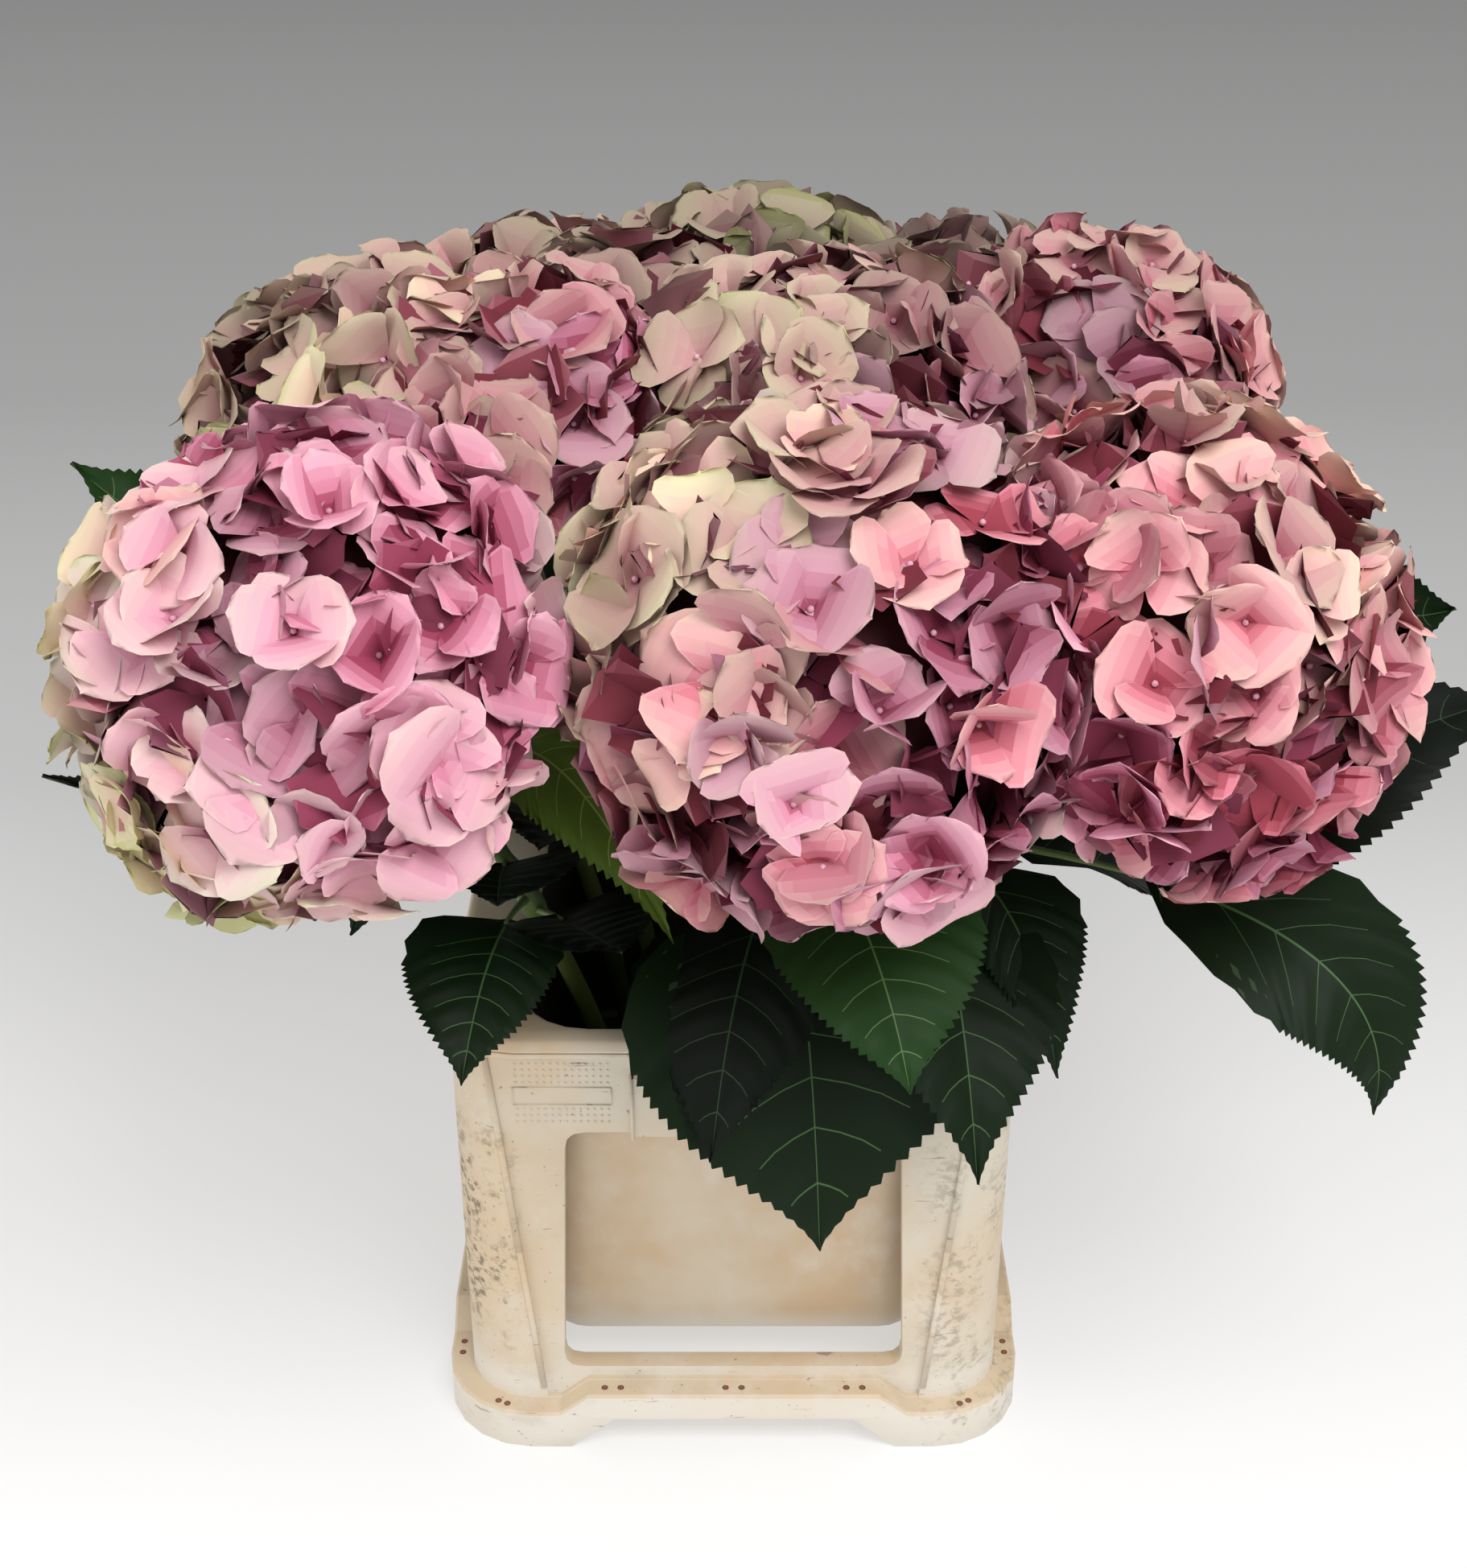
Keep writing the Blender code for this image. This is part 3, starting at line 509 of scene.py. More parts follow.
def stem_points(name, shares):
    centre, half, flatness, _ = BLOOMS[name]
    axis = bloom_axes(name)[0]
    foot_y = centre[1] * FOOT_SPREAD_DEEP * FOOT_SPREAD
    foot = np.array((centre[0] * FOOT_SPREAD, foot_y, FLOOR))
    end = np.array(centre) - axis * half * flatness * STEM_END_SUNK
    bends = (foot, foot + UP * FOOT_RISE, end - axis * BLOOM_LEAN, end)
    share = np.asarray(shares, dtype=float)[..., None]
    rest = 1 - share
    weights = (rest**3, 3 * share * rest**2, 3 * share**2 * rest, share**3)
    return sum(bend * weight for bend, weight in zip(bends, weights))


def stem_radius(share):
    return STEM_RADIUS_FOOT + (STEM_RADIUS_TOP - STEM_RADIUS_FOOT) * share


def leafy_span(name):
    """The shares of a stem's length between which its leaves join."""
    shares = np.linspace(0, 1, 4001)
    bare_end = shares[np.argmax(stem_points(name, shares)[:, 2] >= BARE_UP_TO)]
    speed = np.linalg.norm(stem_points(name, bare_end + 0.001) - stem_points(name, bare_end))
    return bare_end + GAP * 0.001 / speed, LEAFY_TO


def stem_part(parts, name, start, end, swellings, colour):
    """The stem between two shares of its length, swollen where leaves join it."""
    shares = np.linspace(start, end, STEM_RINGS)
    radii = stem_radius(shares)
    for place in swellings:
        radii = radii * (1 + SWELLING * np.exp(-(((shares - place) / SWELLING_LENGTH) ** 2)))
    tube(parts, stem_points(name, shares), radii, STEM_SIDES, colour)


# Leaves


def on_line(bends, shares):
    """Points on the arc that leads from the root towards the bend and on to the tip."""
    root, middle, tip = bends
    share = np.asarray(shares, dtype=float)[..., None]
    rest = 1 - share
    return root * rest**2 + middle * 2 * share * rest + tip * share**2


def leaf_frames(bends, shares, roll):
    """The centre, the way across and the way up, for an array of shares."""
    root, _, tip = bends
    tangent = unit(on_line(bends, shares + 0.01) - on_line(bends, shares - 0.01))
    level = unit(np.cross(tip - root, UP))
    above = unit(np.cross(level, tangent))
    angle = (math.radians(roll) * np.minimum(shares / PETIOLE_SHARE, 1))[..., None]
    across = around(level, above, angle)
    return on_line(bends, shares), across, unit(np.cross(across, tangent))


def blade_half(share, width):
    """Half the blade's width at a share of its length."""
    peak = BLADE_RISE / (BLADE_RISE + BLADE_FALL)
    top = peak**BLADE_RISE * (1 - peak) ** BLADE_FALL
    share = np.clip(share, 0, 1)
    return width / 2 * share**BLADE_RISE * (1 - share) ** BLADE_FALL / top


def leaf_rows():
    """For each row of the blade: its place on the midrib, how far it has gone from one
    vein to the next, how far its tooth stands out, and the side of a vein it edges."""
    rows = [(0.0, 0.5, 0.0, 0)]
    for vein in range(VEINS):
        for step in range(2 * TEETH):
            part = step / (2 * TEETH)
            place = (vein + part + FIRST_VEIN) / (VEINS + FIRST_VEIN) * LAST_TOOTH
            tooth = TEETH_OUT_AND_IN[step % 2]
            if step == 0:
                rows.append((place, part, tooth, -1))
            rows.append((place, part, tooth, 1 if step == 0 else 0))
    rows.append((1.0, 0.5, 0.0, 0))
    return rows


ROWS = leaf_rows()
COLUMNS = (-1.0, -0.88, -0.66, -0.42, -0.2, -1e-6, 1e-6, 0.2, 0.42, 0.66, 0.88, 1.0)


def leaf_blade(parts, bends, width, roll, colours, chooser):
    """The blade, its rows bent forward along the side veins, and its paler underside."""
    root, _, tip = bends
    length = np.linalg.norm(tip - root) * (1 - PETIOLE_SHARE)
    place, between, tooth, beside = np.array(ROWS, dtype=float).T[:, :, None]
    across = np.array(COLUMNS)[None, :]
    away = np.abs(across)
    vein = beside * VEIN_HALF / length * (1 - 0.7 * away)
    sweep = VEIN_SWEEP * np.minimum(1, place / 0.15) * (1 - place)
    share = np.clip(place + vein + sweep * away**1.2, 0, 1)
    half = blade_half(share, width) * (1 - TIP_DRAWN * share**4)
    taper = np.minimum(1, half / (width * 0.2))
    edge = np.clip((away - TOOTHED_FROM) / 0.2, 0, 1)
    half = half + TOOTH * tooth * edge * taper
    share = np.clip(share + TOOTH_FORWARD * tooth * edge * taper, 0, 1)
    middle = MIDRIB_HALF * (1.1 - 0.9 * share)
    out = np.where(away < 0.01, np.sign(across) * middle, across * np.maximum(half, middle * 1.05))
    out = np.sign(across) * np.maximum(np.abs(out), middle)
    centre, flat, above = leaf_frames(bends, PETIOLE_SHARE + (1 - PETIOLE_SHARE) * share, roll)
    wave = chooser.uniform(0, 2 * math.pi, 3)
    lift = np.abs(out) ** 1.15 * BLADE_FOLD * (width / 2) ** -0.15
    bulge = PUCKER * np.sin(math.pi * between) ** 2 * np.minimum(1, away * 3) * (1 - 0.5 * away)
    ruffle = RUFFLE * away**3 * np.sin(share * 11 + wave[0] + across * 1.3) * taper
    sag = SAG * np.sin(share * 4 + wave[1]) * away
    rise = lift + bulge + ruffle + sag - MIDRIB_SUNK * (away < 0.01)
    points = centre + flat * out[..., None] + above * rise[..., None]
    faces = np.full((len(ROWS) - 1, len(COLUMNS) - 1), colours[0])
    faces[beside[:-1, 0] == -1, 2:-2] = colours[1]
    faces[:, len(COLUMNS) // 2 - 1] = colours[1]
    parts.grids(points[None], faces[None])
    under = points - above * LEAF_SHEET
    parts.grids(under[None, :, ::-1], colours[2])


def leaf(parts, bends, width, roll, colours, chooser):
    """A leaf on its stalk, with colours for blade, veins, underside and stalk."""
    shares = np.linspace(0, PETIOLE_SHARE + PETIOLE_INTO_BLADE, 9)
    thick, thin = PETIOLE_TAPER
    radii = np.linspace(PETIOLE_RADIUS * thick, PETIOLE_RADIUS * thin, 9)
    tube(parts, on_line(bends, shares), radii, 6, colours[3])
    leaf_blade(parts, bends, width, roll, colours, chooser)


def leaves_of(name):
    """Each leaf of a stem: where it joins, its line, width, roll and tone."""
    start, end = leafy_span(name)
    rows = list(SHOWN_LEAVES.get(name, ()))
    for along, bearing, length in RULE_LEAVES.get(name, ()):
        root = stem_points(name, start + (end - start) * along)
        angle = math.radians(bearing)
        drop = RULE_DROP_LOW + (RULE_DROP_HIGH - RULE_DROP_LOW) * along
        tip = root + np.array((math.cos(angle) * length, math.sin(angle) * length, -drop))
        tone = ("dark", "mid", "light")[int(along * 97 + bearing) % 3]
        rows.append((along, tip, RULE_WIDTH_SHARE * length, RULE_RISE, RULE_BEND, 0, tone))
    for along, tip, width, rise, bend, roll, tone in rows:
        place = start + (end - start) * along
        root = stem_points(name, place)
        level = np.array((tip[0] - root[0], tip[1] - root[1], 0.0))
        middle = root + level * bend + UP * rise
        yield place, (root, middle, np.array(tip)), width, roll, tone


# Blooms


def reach(name, direction):
    """How far a bloom reaches from its centre in a direction."""
    _, half, flatness, _ = BLOOMS[name]
    along = abs(float(np.dot(direction, bloom_axes(name)[0])))
    return half * math.sqrt((1 - along**2) + (along * flatness) ** 2)


def bloom_walls(name):
    """Planes that part a bloom from the ones it presses on: (direction, distance)."""
    centre = np.array(BLOOMS[name][0])
    walls = []
    for other, (place, _, _, _) in BLOOMS.items():
        if other == name:
            continue
        towards = np.array(place) - centre
        distance = np.linalg.norm(towards)
        towards = towards / distance
        mine, theirs = reach(name, towards), reach(other, towards)
        if mine + theirs + PRESSED_WITHIN > distance:
            walls.append((towards, distance * mine / (mine + theirs)))
    return walls


def eased(value, start, limit):
    """Values past a start drawn in, so that they come near the limit but not past it."""
    room = limit - start
    return np.where(value > start, start + room * np.tanh((value - start) / room), value)


def bulge(name, directions):
    """How much further the bloom reaches beside the blooms that it presses on."""
    share = np.zeros(directions.shape[:-1])
    for towards, _ in bloom_walls(name):
        facing = np.clip((directions @ towards - BULGE_FROM) / (1 - BULGE_FROM) * 2, 0, 1)
        share = np.maximum(share, facing * facing * (3 - 2 * facing))
    return 1 + BULGE * share


def pressed(name, points):
    """Points drawn towards the bloom's outer shape and off the blooms it presses on."""
    centre, half, flatness, _ = BLOOMS[name]
    axis = bloom_axes(name)[0]
    ray = points - np.array(centre)
    high = ray @ axis
    level = np.linalg.norm(ray - high[..., None] * axis, axis=-1)
    tall = np.where(high > 0, half * flatness, half * flatness * UNDERSIDE)
    share = np.maximum(np.hypot(level / half, high / tall), 1e-6)
    share = share / bulge(name, unit(ray))
    ray = ray * (eased(share, DRAWN_FROM, DRAWN_TO) / share)[..., None]
    for towards, distance in bloom_walls(name):
        ahead = ray @ towards
        far = ahead - eased(ahead, distance, distance + WALL_OVERLAP)
        ray = ray - towards * far[..., None]
    place = np.array(centre) + ray + SHIFT
    low_limit, high_limit = np.array(CAD_BOX)
    place = eased(place, high_limit - BOX_EDGE, high_limit - BOX_CLEAR)
    place = -eased(-place, -low_limit - BOX_EDGE, -low_limit - BOX_CLEAR)
    return place - SHIFT


def bloom_points(name, turn, height, depth):
    """Points a depth below the bloom's outer shape, and the ways it faces there."""
    centre, half, flatness, _ = BLOOMS[name]
    axis, side, cross = bloom_axes(name)
    tall = np.where(height > 0, half * flatness, half * flatness * UNDERSIDE)
    level = np.sqrt(1 - height**2)
    round_part = side * (level * np.cos(turn))[:, None] + cross * (level * np.sin(turn))[:, None]
    place = round_part * half + axis * (height * tall)[:, None]
    facing = unit(round_part / half + axis * (height / tall)[:, None])
    place = place * bulge(name, unit(place))[:, None] - facing * depth
    return np.array(centre) + place, facing


def scattered(name, spacing, depth, chooser):
    """Places for florets all over a bloom, fewer where another bloom presses on it."""
    _, half, flatness, _ = BLOOMS[name]
    area = 4 * math.pi * (half - depth) ** 2 * (0.35 + 0.65 * flatness)
    count = int(area * (1 - LOWEST_FLORET) / 2 / spacing**2)
    steps = np.arange(count)
    height = 1 - (1 - LOWEST_FLORET) * (steps + 0.5) / count
    drift = chooser.uniform(-FLORET_TURN_DRIFT, FLORET_TURN_DRIFT, count)
    turn = steps * math.pi * (3 - math.sqrt(5)) + drift
    drift = chooser.uniform(-FLORET_HEIGHT_DRIFT, FLORET_HEIGHT_DRIFT, count)
    height = np.clip(height + drift, -0.98, 0.99)
    place, facing = bloom_points(name, turn, height, depth)
    centre = np.array(BLOOMS[name][0])
    drawn = pressed(name, place)
    kept = np.linalg.norm(drawn - centre, axis=1) / np.linalg.norm(place - centre, axis=1)
    chosen = kept > PRESSED_LIMIT
    return drawn[chosen], facing[chosen], height[chosen]


def petal_palette():
    """The stops with even shades between them, each in some painted lights: salmon, then mauve."""
    palette = []
    for stops in (np.array(PETAL_STOPS), np.array(MAUVE_STOPS)):
        places = np.linspace(0, len(stops) - 1, LAST_SHADE + 1)
        steps = range(len(stops))
        shades = np.stack([np.interp(places, steps, c) for c in stops.T], axis=1)
        lit = [shade * light for shade in shades for light in PETAL_PAINTED_LIGHTS]
        palette += [np.minimum(colour, BRIGHTEST) for colour in lit]
    return palette


def petal_colour(name, place, height, petals, chooser, grid, deeper):
    """A colour number for each face of each petal: the tone at the floret's place, a
    little different in each petal, deeper at its base, partly as painted shade in the
    creases, and paler at its rim, in a painted light, with painted shade that makes sunk
    and inner florets deeper and darker."""
    tone, towards_cream, amount, painted_lightness, mauve = BLOOM_TONES[name]
    centre, half = np.array(BLOOMS[name][0]), BLOOMS[name][1]
    lean = ((place - centre) / half) @ unit(np.array(towards_cream))
    base = tone - amount * np.clip(lean * 1.3, -0.3, 1)
    base = base - UNDERSIDE_PALER * np.clip(-height + 0.05, 0, 1)
    base = base + chooser.normal(0, TONE_BY_FLORET, len(place)) + deeper
    each = np.repeat(base, 4) + chooser.normal(0, TONE_BY_PETAL, petals)
    # Painted light and shade: the bloom's light level, lower where florets lie deep
    lit = chooser.normal(painted_lightness, LIGHT_BY_FLORET, len(place)) - SHADE_DARKER_LIGHTS * deeper
    lit = np.repeat(lit, 4)
    along = (np.arange(grid) + 0.5) / grid
    side = np.abs((np.arange(grid) + 0.5) / grid * 2 - 1)
    zone = BASE_DEEPER * (1 - along) ** 2.0 - TIP_PALER * along**3
    value = each[:, None, None] + zone[None, :, None]
    value = value - SIDES_PALER * side[None, None, :] ** 3
    stop = np.clip(np.round(value * PETAL_SHADES), 0, LAST_SHADE)
    step = np.clip(np.round(lit), 0, len(PETAL_PAINTED_LIGHTS) - 1)[:, None, None]
    drawn = chooser.uniform(0, MAUVE_BY_FLORET, len(place)) + 0.5 * lean
    tinted = np.repeat(drawn < mauve, 4)[:, None, None]
    return ((stop + tinted * (LAST_SHADE + 1)) * len(PETAL_PAINTED_LIGHTS) + step).astype(int)


def petal_frames(facing, chooser):
    """The way each floret faces, and for each of its petals the ways out, across and up."""
    count = len(facing)
    faced = unit(facing + chooser.normal(0, FLORET_TILT, (count, 3)))
    side = unit(np.cross(faced, chooser.normal(0, 1, (count, 3))))
    cross = np.cross(faced, side)
    drift = chooser.normal(0, PETAL_TURN_DRIFT, count * 4)
    quarter = np.tile(np.arange(4) * math.pi / 2, count) + drift
    normal, side, cross = (np.repeat(v, 4, axis=0) for v in (faced, side, cross))
    out = around(side, cross, quarter[:, None])
    flat = np.cross(normal, out)
    twist = chooser.normal(0, PETAL_TWIST, count * 4)[:, None]
    return faced, out, around(flat, normal, twist), around(normal, -flat, twist)


def petal_outline(grid):
    """A petal's rows and columns: how far along, how far across, and how wide it is."""
    turn = np.linspace(0, math.pi, grid + 1)
    along = (PETAL_FROM + (1 - PETAL_FROM) * (1 - np.cos(turn)) / 2)[None, :, None]
    across = -np.cos(turn)[None, None, :]
    shape = np.maximum(1 - np.abs(2 * along**1.12 - 1) ** 2.1, 0) ** 0.5
    neck = PETAL_NECK + (1 - PETAL_NECK) * np.minimum(1, along / PETAL_NECK_TO)
    return along, across, np.maximum(shape * neck, 0.05)


def florets(parts, name, place, facing, height, grid, chooser, deeper):
    """Four broad wavy petals round each place, all at once as arrays."""
    count = len(place)
    petals = count * 4
    faced, out, flat, normal = petal_frames(facing, chooser)
    size = np.repeat(chooser.uniform(*FLORET_SIZES, count), 4)
    size = (size * chooser.uniform(*PETAL_SIZES, petals))[:, None, None]
    along, across, shape = petal_outline(grid)

    def varied(low_value, high_value):
        return chooser.uniform(low_value, high_value, petals)[:, None, None]

    phase = varied(0, 2 * math.pi)
    bearing = np.arctan2(across * shape, 2 * along - 1)
    rim = np.maximum(np.abs(across), along) ** 3 * along
    width = PETAL_HALF_WIDTH * size * varied(*PETAL_WIDTHS) * shape
    line = PETAL_LENGTH * size * (along - PETAL_CORNERS * across**2 * along)
    line = line * (1 + RIM_SCALLOP * np.sin(3 * bearing + phase) * rim)
    steep = np.repeat(chooser.uniform(*CUP_AT_BASE, count), 4)[:, None, None]
    flatter = steep - varied(*CUP_TURN)
    bend = np.where(np.abs(flatter) < 0.02, 0.02, flatter) - steep
    angle = steep + bend * along
    run = line * (np.sin(angle) - np.sin(steep)) / (bend * along)
    rise = line * (np.cos(steep) - np.cos(angle)) / (bend * along)
    rise = rise + width * varied(*SIDES_RISE) * across**2
    rise = rise + WAVE * varied(*WAVE_SHARES) * np.sin(2.6 * bearing + phase) * rim
    rise = rise + CRINKLE * varied(*CRINKLE_SHARES) * np.sin(6 * bearing + 2 * phase) * rim
    over = np.tile((PETAL_OVER_NEXT, 0.0), count * 2)[:, None, None]
    rise = rise + over * np.minimum(1, along * 3)
    points = np.repeat(place, 4, axis=0)[:, None, None] + out[:, None, None] * run[..., None]
    points = points + flat[:, None, None] * (width * across)[..., None]
    points = points + normal[:, None, None] * rise[..., None]
    points = pressed(name, points)
    colours = petal_colour(name, place, height, petals, chooser, grid, deeper)
    parts.grids(points, colours)
    return faced


def buds(parts, place, facing, colour):
    """A small round bud in the middle of each floret."""
    side = unit(np.cross(facing, (0.31, 0.53, 0.79)))
    cross = np.cross(facing, side)
    turn = (np.arange(6) * math.pi / 3)[None, :, None]
    rings = []
    for level, radius in ((-1, 0.2), (-0.4, 0.9), (0.4, 0.9), (1, 0.1)):
        out = around(side[:, None], cross[:, None], turn)
        from_base = out * radius + facing[:, None] * (level + 1.6)
        rings.append(place[:, None] + from_base * BUD_RADIUS)
    parts.grids(np.stack(rings, axis=1), colour, closed=True)


def bloom_core(parts, name, colour):
    """A dark core that closes the view between the petals."""
    rings = []
    turn = np.arange(20) * math.pi / 10
    for step in range(13):
        height = np.full(20, -math.cos(math.pi * step / 12) * 0.999)
        rings.append(bloom_points(name, turn, height, CORE_DEPTH)[0])
    parts.grids(pressed(name, np.array(rings))[None], colour, closed=True)


def pedicels(parts, name, place, height, colour):
    """Thin stalks from the top of the stem to the lower florets."""
    centre = np.array(BLOOMS[name][0])
    start = stem_points(name, 0.97)
    for point in place[height < 0.0][::2]:
        bend = start + (centre - start) * 0.3 + (point - start) * 0.35
        share = np.linspace(0, 0.93, 4)[:, None]
        line = start * (1 - share) ** 2 + bend * 2 * share * (1 - share) + point * share**2
        tube(parts, line, np.full(4, 0.0007), 4, colour)


# Bucket


def applied(made):
    """The object with its modifiers applied to its mesh."""
    graph = bpy.context.evaluated_depsgraph_get()
    mesh = bpy.data.meshes.new_from_object(made.evaluated_get(graph))
    made.modifiers.clear()
    made.data = mesh
    return made


def closed_seams(builder):
    """Joins the frame's pieces where they are parted, level with the windows."""
    for level in FRAME_SEAMS:
        ring = [v for v in builder.verts if abs(v.co.z - level) < 2 * GAP]
        for vertex in ring:
            vertex.co.z = level
        between = [f for f in builder.faces if all(v in set(ring) for v in f.verts)]
        bmesh.ops.delete(builder, geom=between, context="FACES_ONLY")
        bmesh.ops.remove_doubles(builder, verts=ring, dist=1.5 * GAP)


def softened(nodes, name, width):
    """A copy of bucket solids with flat faces whole again and rounded edges."""
    builder = bmesh.new()
    for node in nodes:
        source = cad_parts[node]
        mesh = source.data.copy()
        mesh.transform(source.matrix_world)
        builder.from_mesh(mesh)
    bmesh.ops.remove_doubles(builder, verts=builder.verts, dist=WELD)
    if len(nodes) > 1:
        closed_seams(builder)
    bmesh.ops.dissolve_limit(
        builder, angle_limit=math.radians(FLAT_WITHIN), verts=builder.verts, edges=builder.edges
    )
    mesh = bpy.data.meshes.new(name)
    builder.to_mesh(mesh)
    builder.free()
    made = linked(name, mesh)
    bevel = made.modifiers.new("edges", "BEVEL")
    bevel.width = width
    bevel.segments = 2
    bevel.limit_method = "ANGLE"
    bevel.angle_limit = math.radians(ROUNDED_FROM)
    applied(made)
    made.data.shade_smooth()
    made.data.set_sharp_from_angle(angle=math.radians(SHARP_FROM))
    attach(made, "root")
    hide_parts(*nodes)
    return made


def fill(tree, sockets, values):
    """Gives each input a plain value, or a link where the value is an output."""
    for socket, value in zip(sockets, values):
        if isinstance(value, bpy.types.NodeSocket):
            tree.links.new(value, socket)
        else:
            socket.default_value = value


def added(tree, kind, **values):
    """A new node with its named inputs filled."""
    made = tree.nodes.new("ShaderNode" + kind)
    fill(tree, [made.inputs[name.replace("_", " ")] for name in values], values.values())
    return made


def noise(tree, place, scale, detail, stretch=(1, 1, 1), offset=(0, 0, 0)):
    moved = added(tree, "Mapping", Scale=stretch, Location=offset, Vector=place)
    moved = moved.outputs["Vector"]
    made = added(tree, "TexNoise", Scale=scale, Detail=detail, Roughness=0.62, Vector=moved)
    return made.outputs["Fac"]


def ramp(tree, value, low_value, high_value):
    made = added(tree, "MapRange", From_Min=low_value, From_Max=high_value, Value=value)
    made.interpolation_type = "SMOOTHSTEP"
    return made.outputs["Result"]


def joined(tree, operation, first, second):
    made = added(tree, "Math")
    made.operation = operation
    fill(tree, made.inputs, (first, second))
    return made.outputs["Value"]


def times(tree, first, second):
    return joined(tree, "MULTIPLY", first, second)


def mixed(tree, share, under, over):
    """Colour under turned towards a plain colour by a share."""
    made = added(tree, "Mix")
    made.data_type = "RGBA"
    under = (*linear(under), 1) if isinstance(under, tuple) else under
    fill(tree, (made.inputs[0], *made.inputs[6:8]), (share, under, (*linear(over), 1)))
    return made.outputs[2]


def marked(tree, place, colour, mark):
    """The colour with one kind of mark over it."""
    scale, detail, stretch, offset, start, full, strength, over = mark
    share = ramp(tree, noise(tree, place, scale, detail, stretch, offset), start, full)
    return mixed(tree, times(tree, share, strength), colour, over)


def grime(tree, place, x, z):
    """How grimy the plastic is: in patches on the outer columns, most on the left."""
    left = ramp(tree, x, SHIFT[0] - 0.100, SHIFT[0] - 0.118)
    left = times(tree, left, ramp(tree, z, 0.215, 0.16))
    left = times(tree, left, ramp(tree, z, 0.03, 0.09))
    right = times(tree, ramp(tree, x, SHIFT[0] + 0.085, SHIFT[0] + 0.110), 0.45)
    worn = joined(tree, "MAXIMUM", left, right)
    coarse = ramp(tree, noise(tree, place, 45, 5, (1, 1, 0.8), (7, 3, 1)), 0.44, 0.60)
    fine = ramp(tree, noise(tree, place, 190, 8, (1, 1, 1.3), (4, 6, 1)), 0.46, 0.60)
    return times(tree, times(tree, fine, coarse), worn)


def plastic(name, colours, outside):
    """Old cream plastic: tan in patches and on level parts low down, paler on low sides,
    with faded patches and, outside, grime, scratches and specks."""
    base, tan = colours
    made = bpy.data.materials.new(name)
    made.use_nodes = True
    tree = made.node_tree
    place = added(tree, "TexCoord").outputs["Object"]
    split = added(tree, "SeparateXYZ", Vector=place)
    x, z = split.outputs["X"], split.outputs["Z"]
    colour = mixed(tree, ramp(tree, noise(tree, place, 9, 4), 0.38, 0.70), base, tan)
    normal = added(tree, "NewGeometry").outputs["Normal"]
    upward = added(tree, "SeparateXYZ", Vector=normal).outputs["Z"]
    level = times(tree, ramp(tree, upward, 0.3, 0.8), ramp(tree, z, 0.075, 0.040))
    colour = mixed(tree, times(tree, level, 0.75), colour, tan)
    low_side = times(tree, ramp(tree, z, 0.050, 0.030), ramp(tree, upward, 0.6, 0.1))
    colour = mixed(tree, times(tree, low_side, 0.65), colour, LOW_SIDE_COLOUR)
    colour = marked(tree, place, colour, FADED)
    if outside:
        colour = mixed(tree, times(tree, grime(tree, place, x, z), 0.85), colour, GRIME_COLOUR)
        for mark in (FILM, SCRATCHES, SPECKS):
            colour = marked(tree, place, colour, mark)
    least, most = PLASTIC_ROUGHNESS
    rough = added(tree, "MapRange", To_Min=least, To_Max=most, Value=noise(tree, place, 40, 5))
    grain = noise(tree, place, 180, 6)
    bump = added(tree, "Bump", Strength=0.25, Distance=0.0006, Height=grain)
    inputs = tree.nodes["Principled BSDF"].inputs
    tree.links.new(colour, inputs["Base Color"])
    tree.links.new(rough.outputs["Result"], inputs["Roughness"])
    tree.links.new(bump.outputs["Normal"], inputs["Normal"])
    return made


def bumps(parts, centres, outward, radius, height):
    """Small round studs on a face, all at once."""
    outward = np.array(outward, dtype=float)
    side = unit(np.cross(outward, UP))
    turn = (np.arange(8) * math.pi / 4)[:, None]
    rings = []
    for level, share in ((-0.3, 1.0), (0.45, 0.86), (0.9, 0.5), (1.0, 0.03)):
        ring = around(side, UP, turn) * radius * share + outward * height * level
        rings.append(centres[:, None] + ring[None])
    parts.grids(np.stack(rings, axis=1), 0, closed=True)


def strip(parts, start, end, outward, half, height):
    """A low rounded rib from one point of a face to another."""
    start, end, outward = (np.array(v, dtype=float) for v in (start, end, outward))
    along = unit(end - start)
    side = np.cross(along, outward)
    profile = ((-1, -0.4), (-0.95, 0.5), (-0.6, 0.95), (0.6, 0.95), (0.95, 0.5), (1, -0.4))
    rings = []
    for place, share in ((start, 0.05), (start, 1.0), (end, 1.0), (end, 0.05)):
        ring = [place + side * half * a * share + outward * height * b for a, b in profile]
        rings.append(ring)
    parts.grids(np.array(rings)[None], 0, closed=True)


def bucket_details():
    """Label fields with rows of studs, rib lines and the edge of the middle block."""
    parts = Parts()
    bottom, top = LABEL_LEVELS
    for front in (-1, 1):
        outward = (0, front, 0)
        at = front * (FACE - FIELD_SUNK)
        for side in (-1, 1):
            columns = side * np.linspace(*STUD_COLUMNS)
            studs = [(column, at, level) for level in STUD_LEVELS for column in columns]
            bumps(parts, np.array(studs), outward, STUD_RADIUS, STUD_HEIGHT)
            inner, outer = (side * out for out in LABEL_SIDES)
            for level in LABEL_LEVELS:
                strip(parts, (inner, at, level), (outer, at, level), outward, *LABEL_RIB)
            for across in (inner, outer):
                strip(parts, (across, at, bottom), (across, at, top), outward, *LABEL_RIB)
            line = [(side * x, front * y, z) for x, y, z in COLUMN_LINE]
            for start, end in zip(line, line[1:]):
                strip(parts, start, end, outward, *COLUMN_RIB)
            start, end = ((side * BLOCK_EDGE, at, level) for level in BLOCK_LEVELS)
            strip(parts, start, end, outward, *BLOCK_RIB)
    return parts


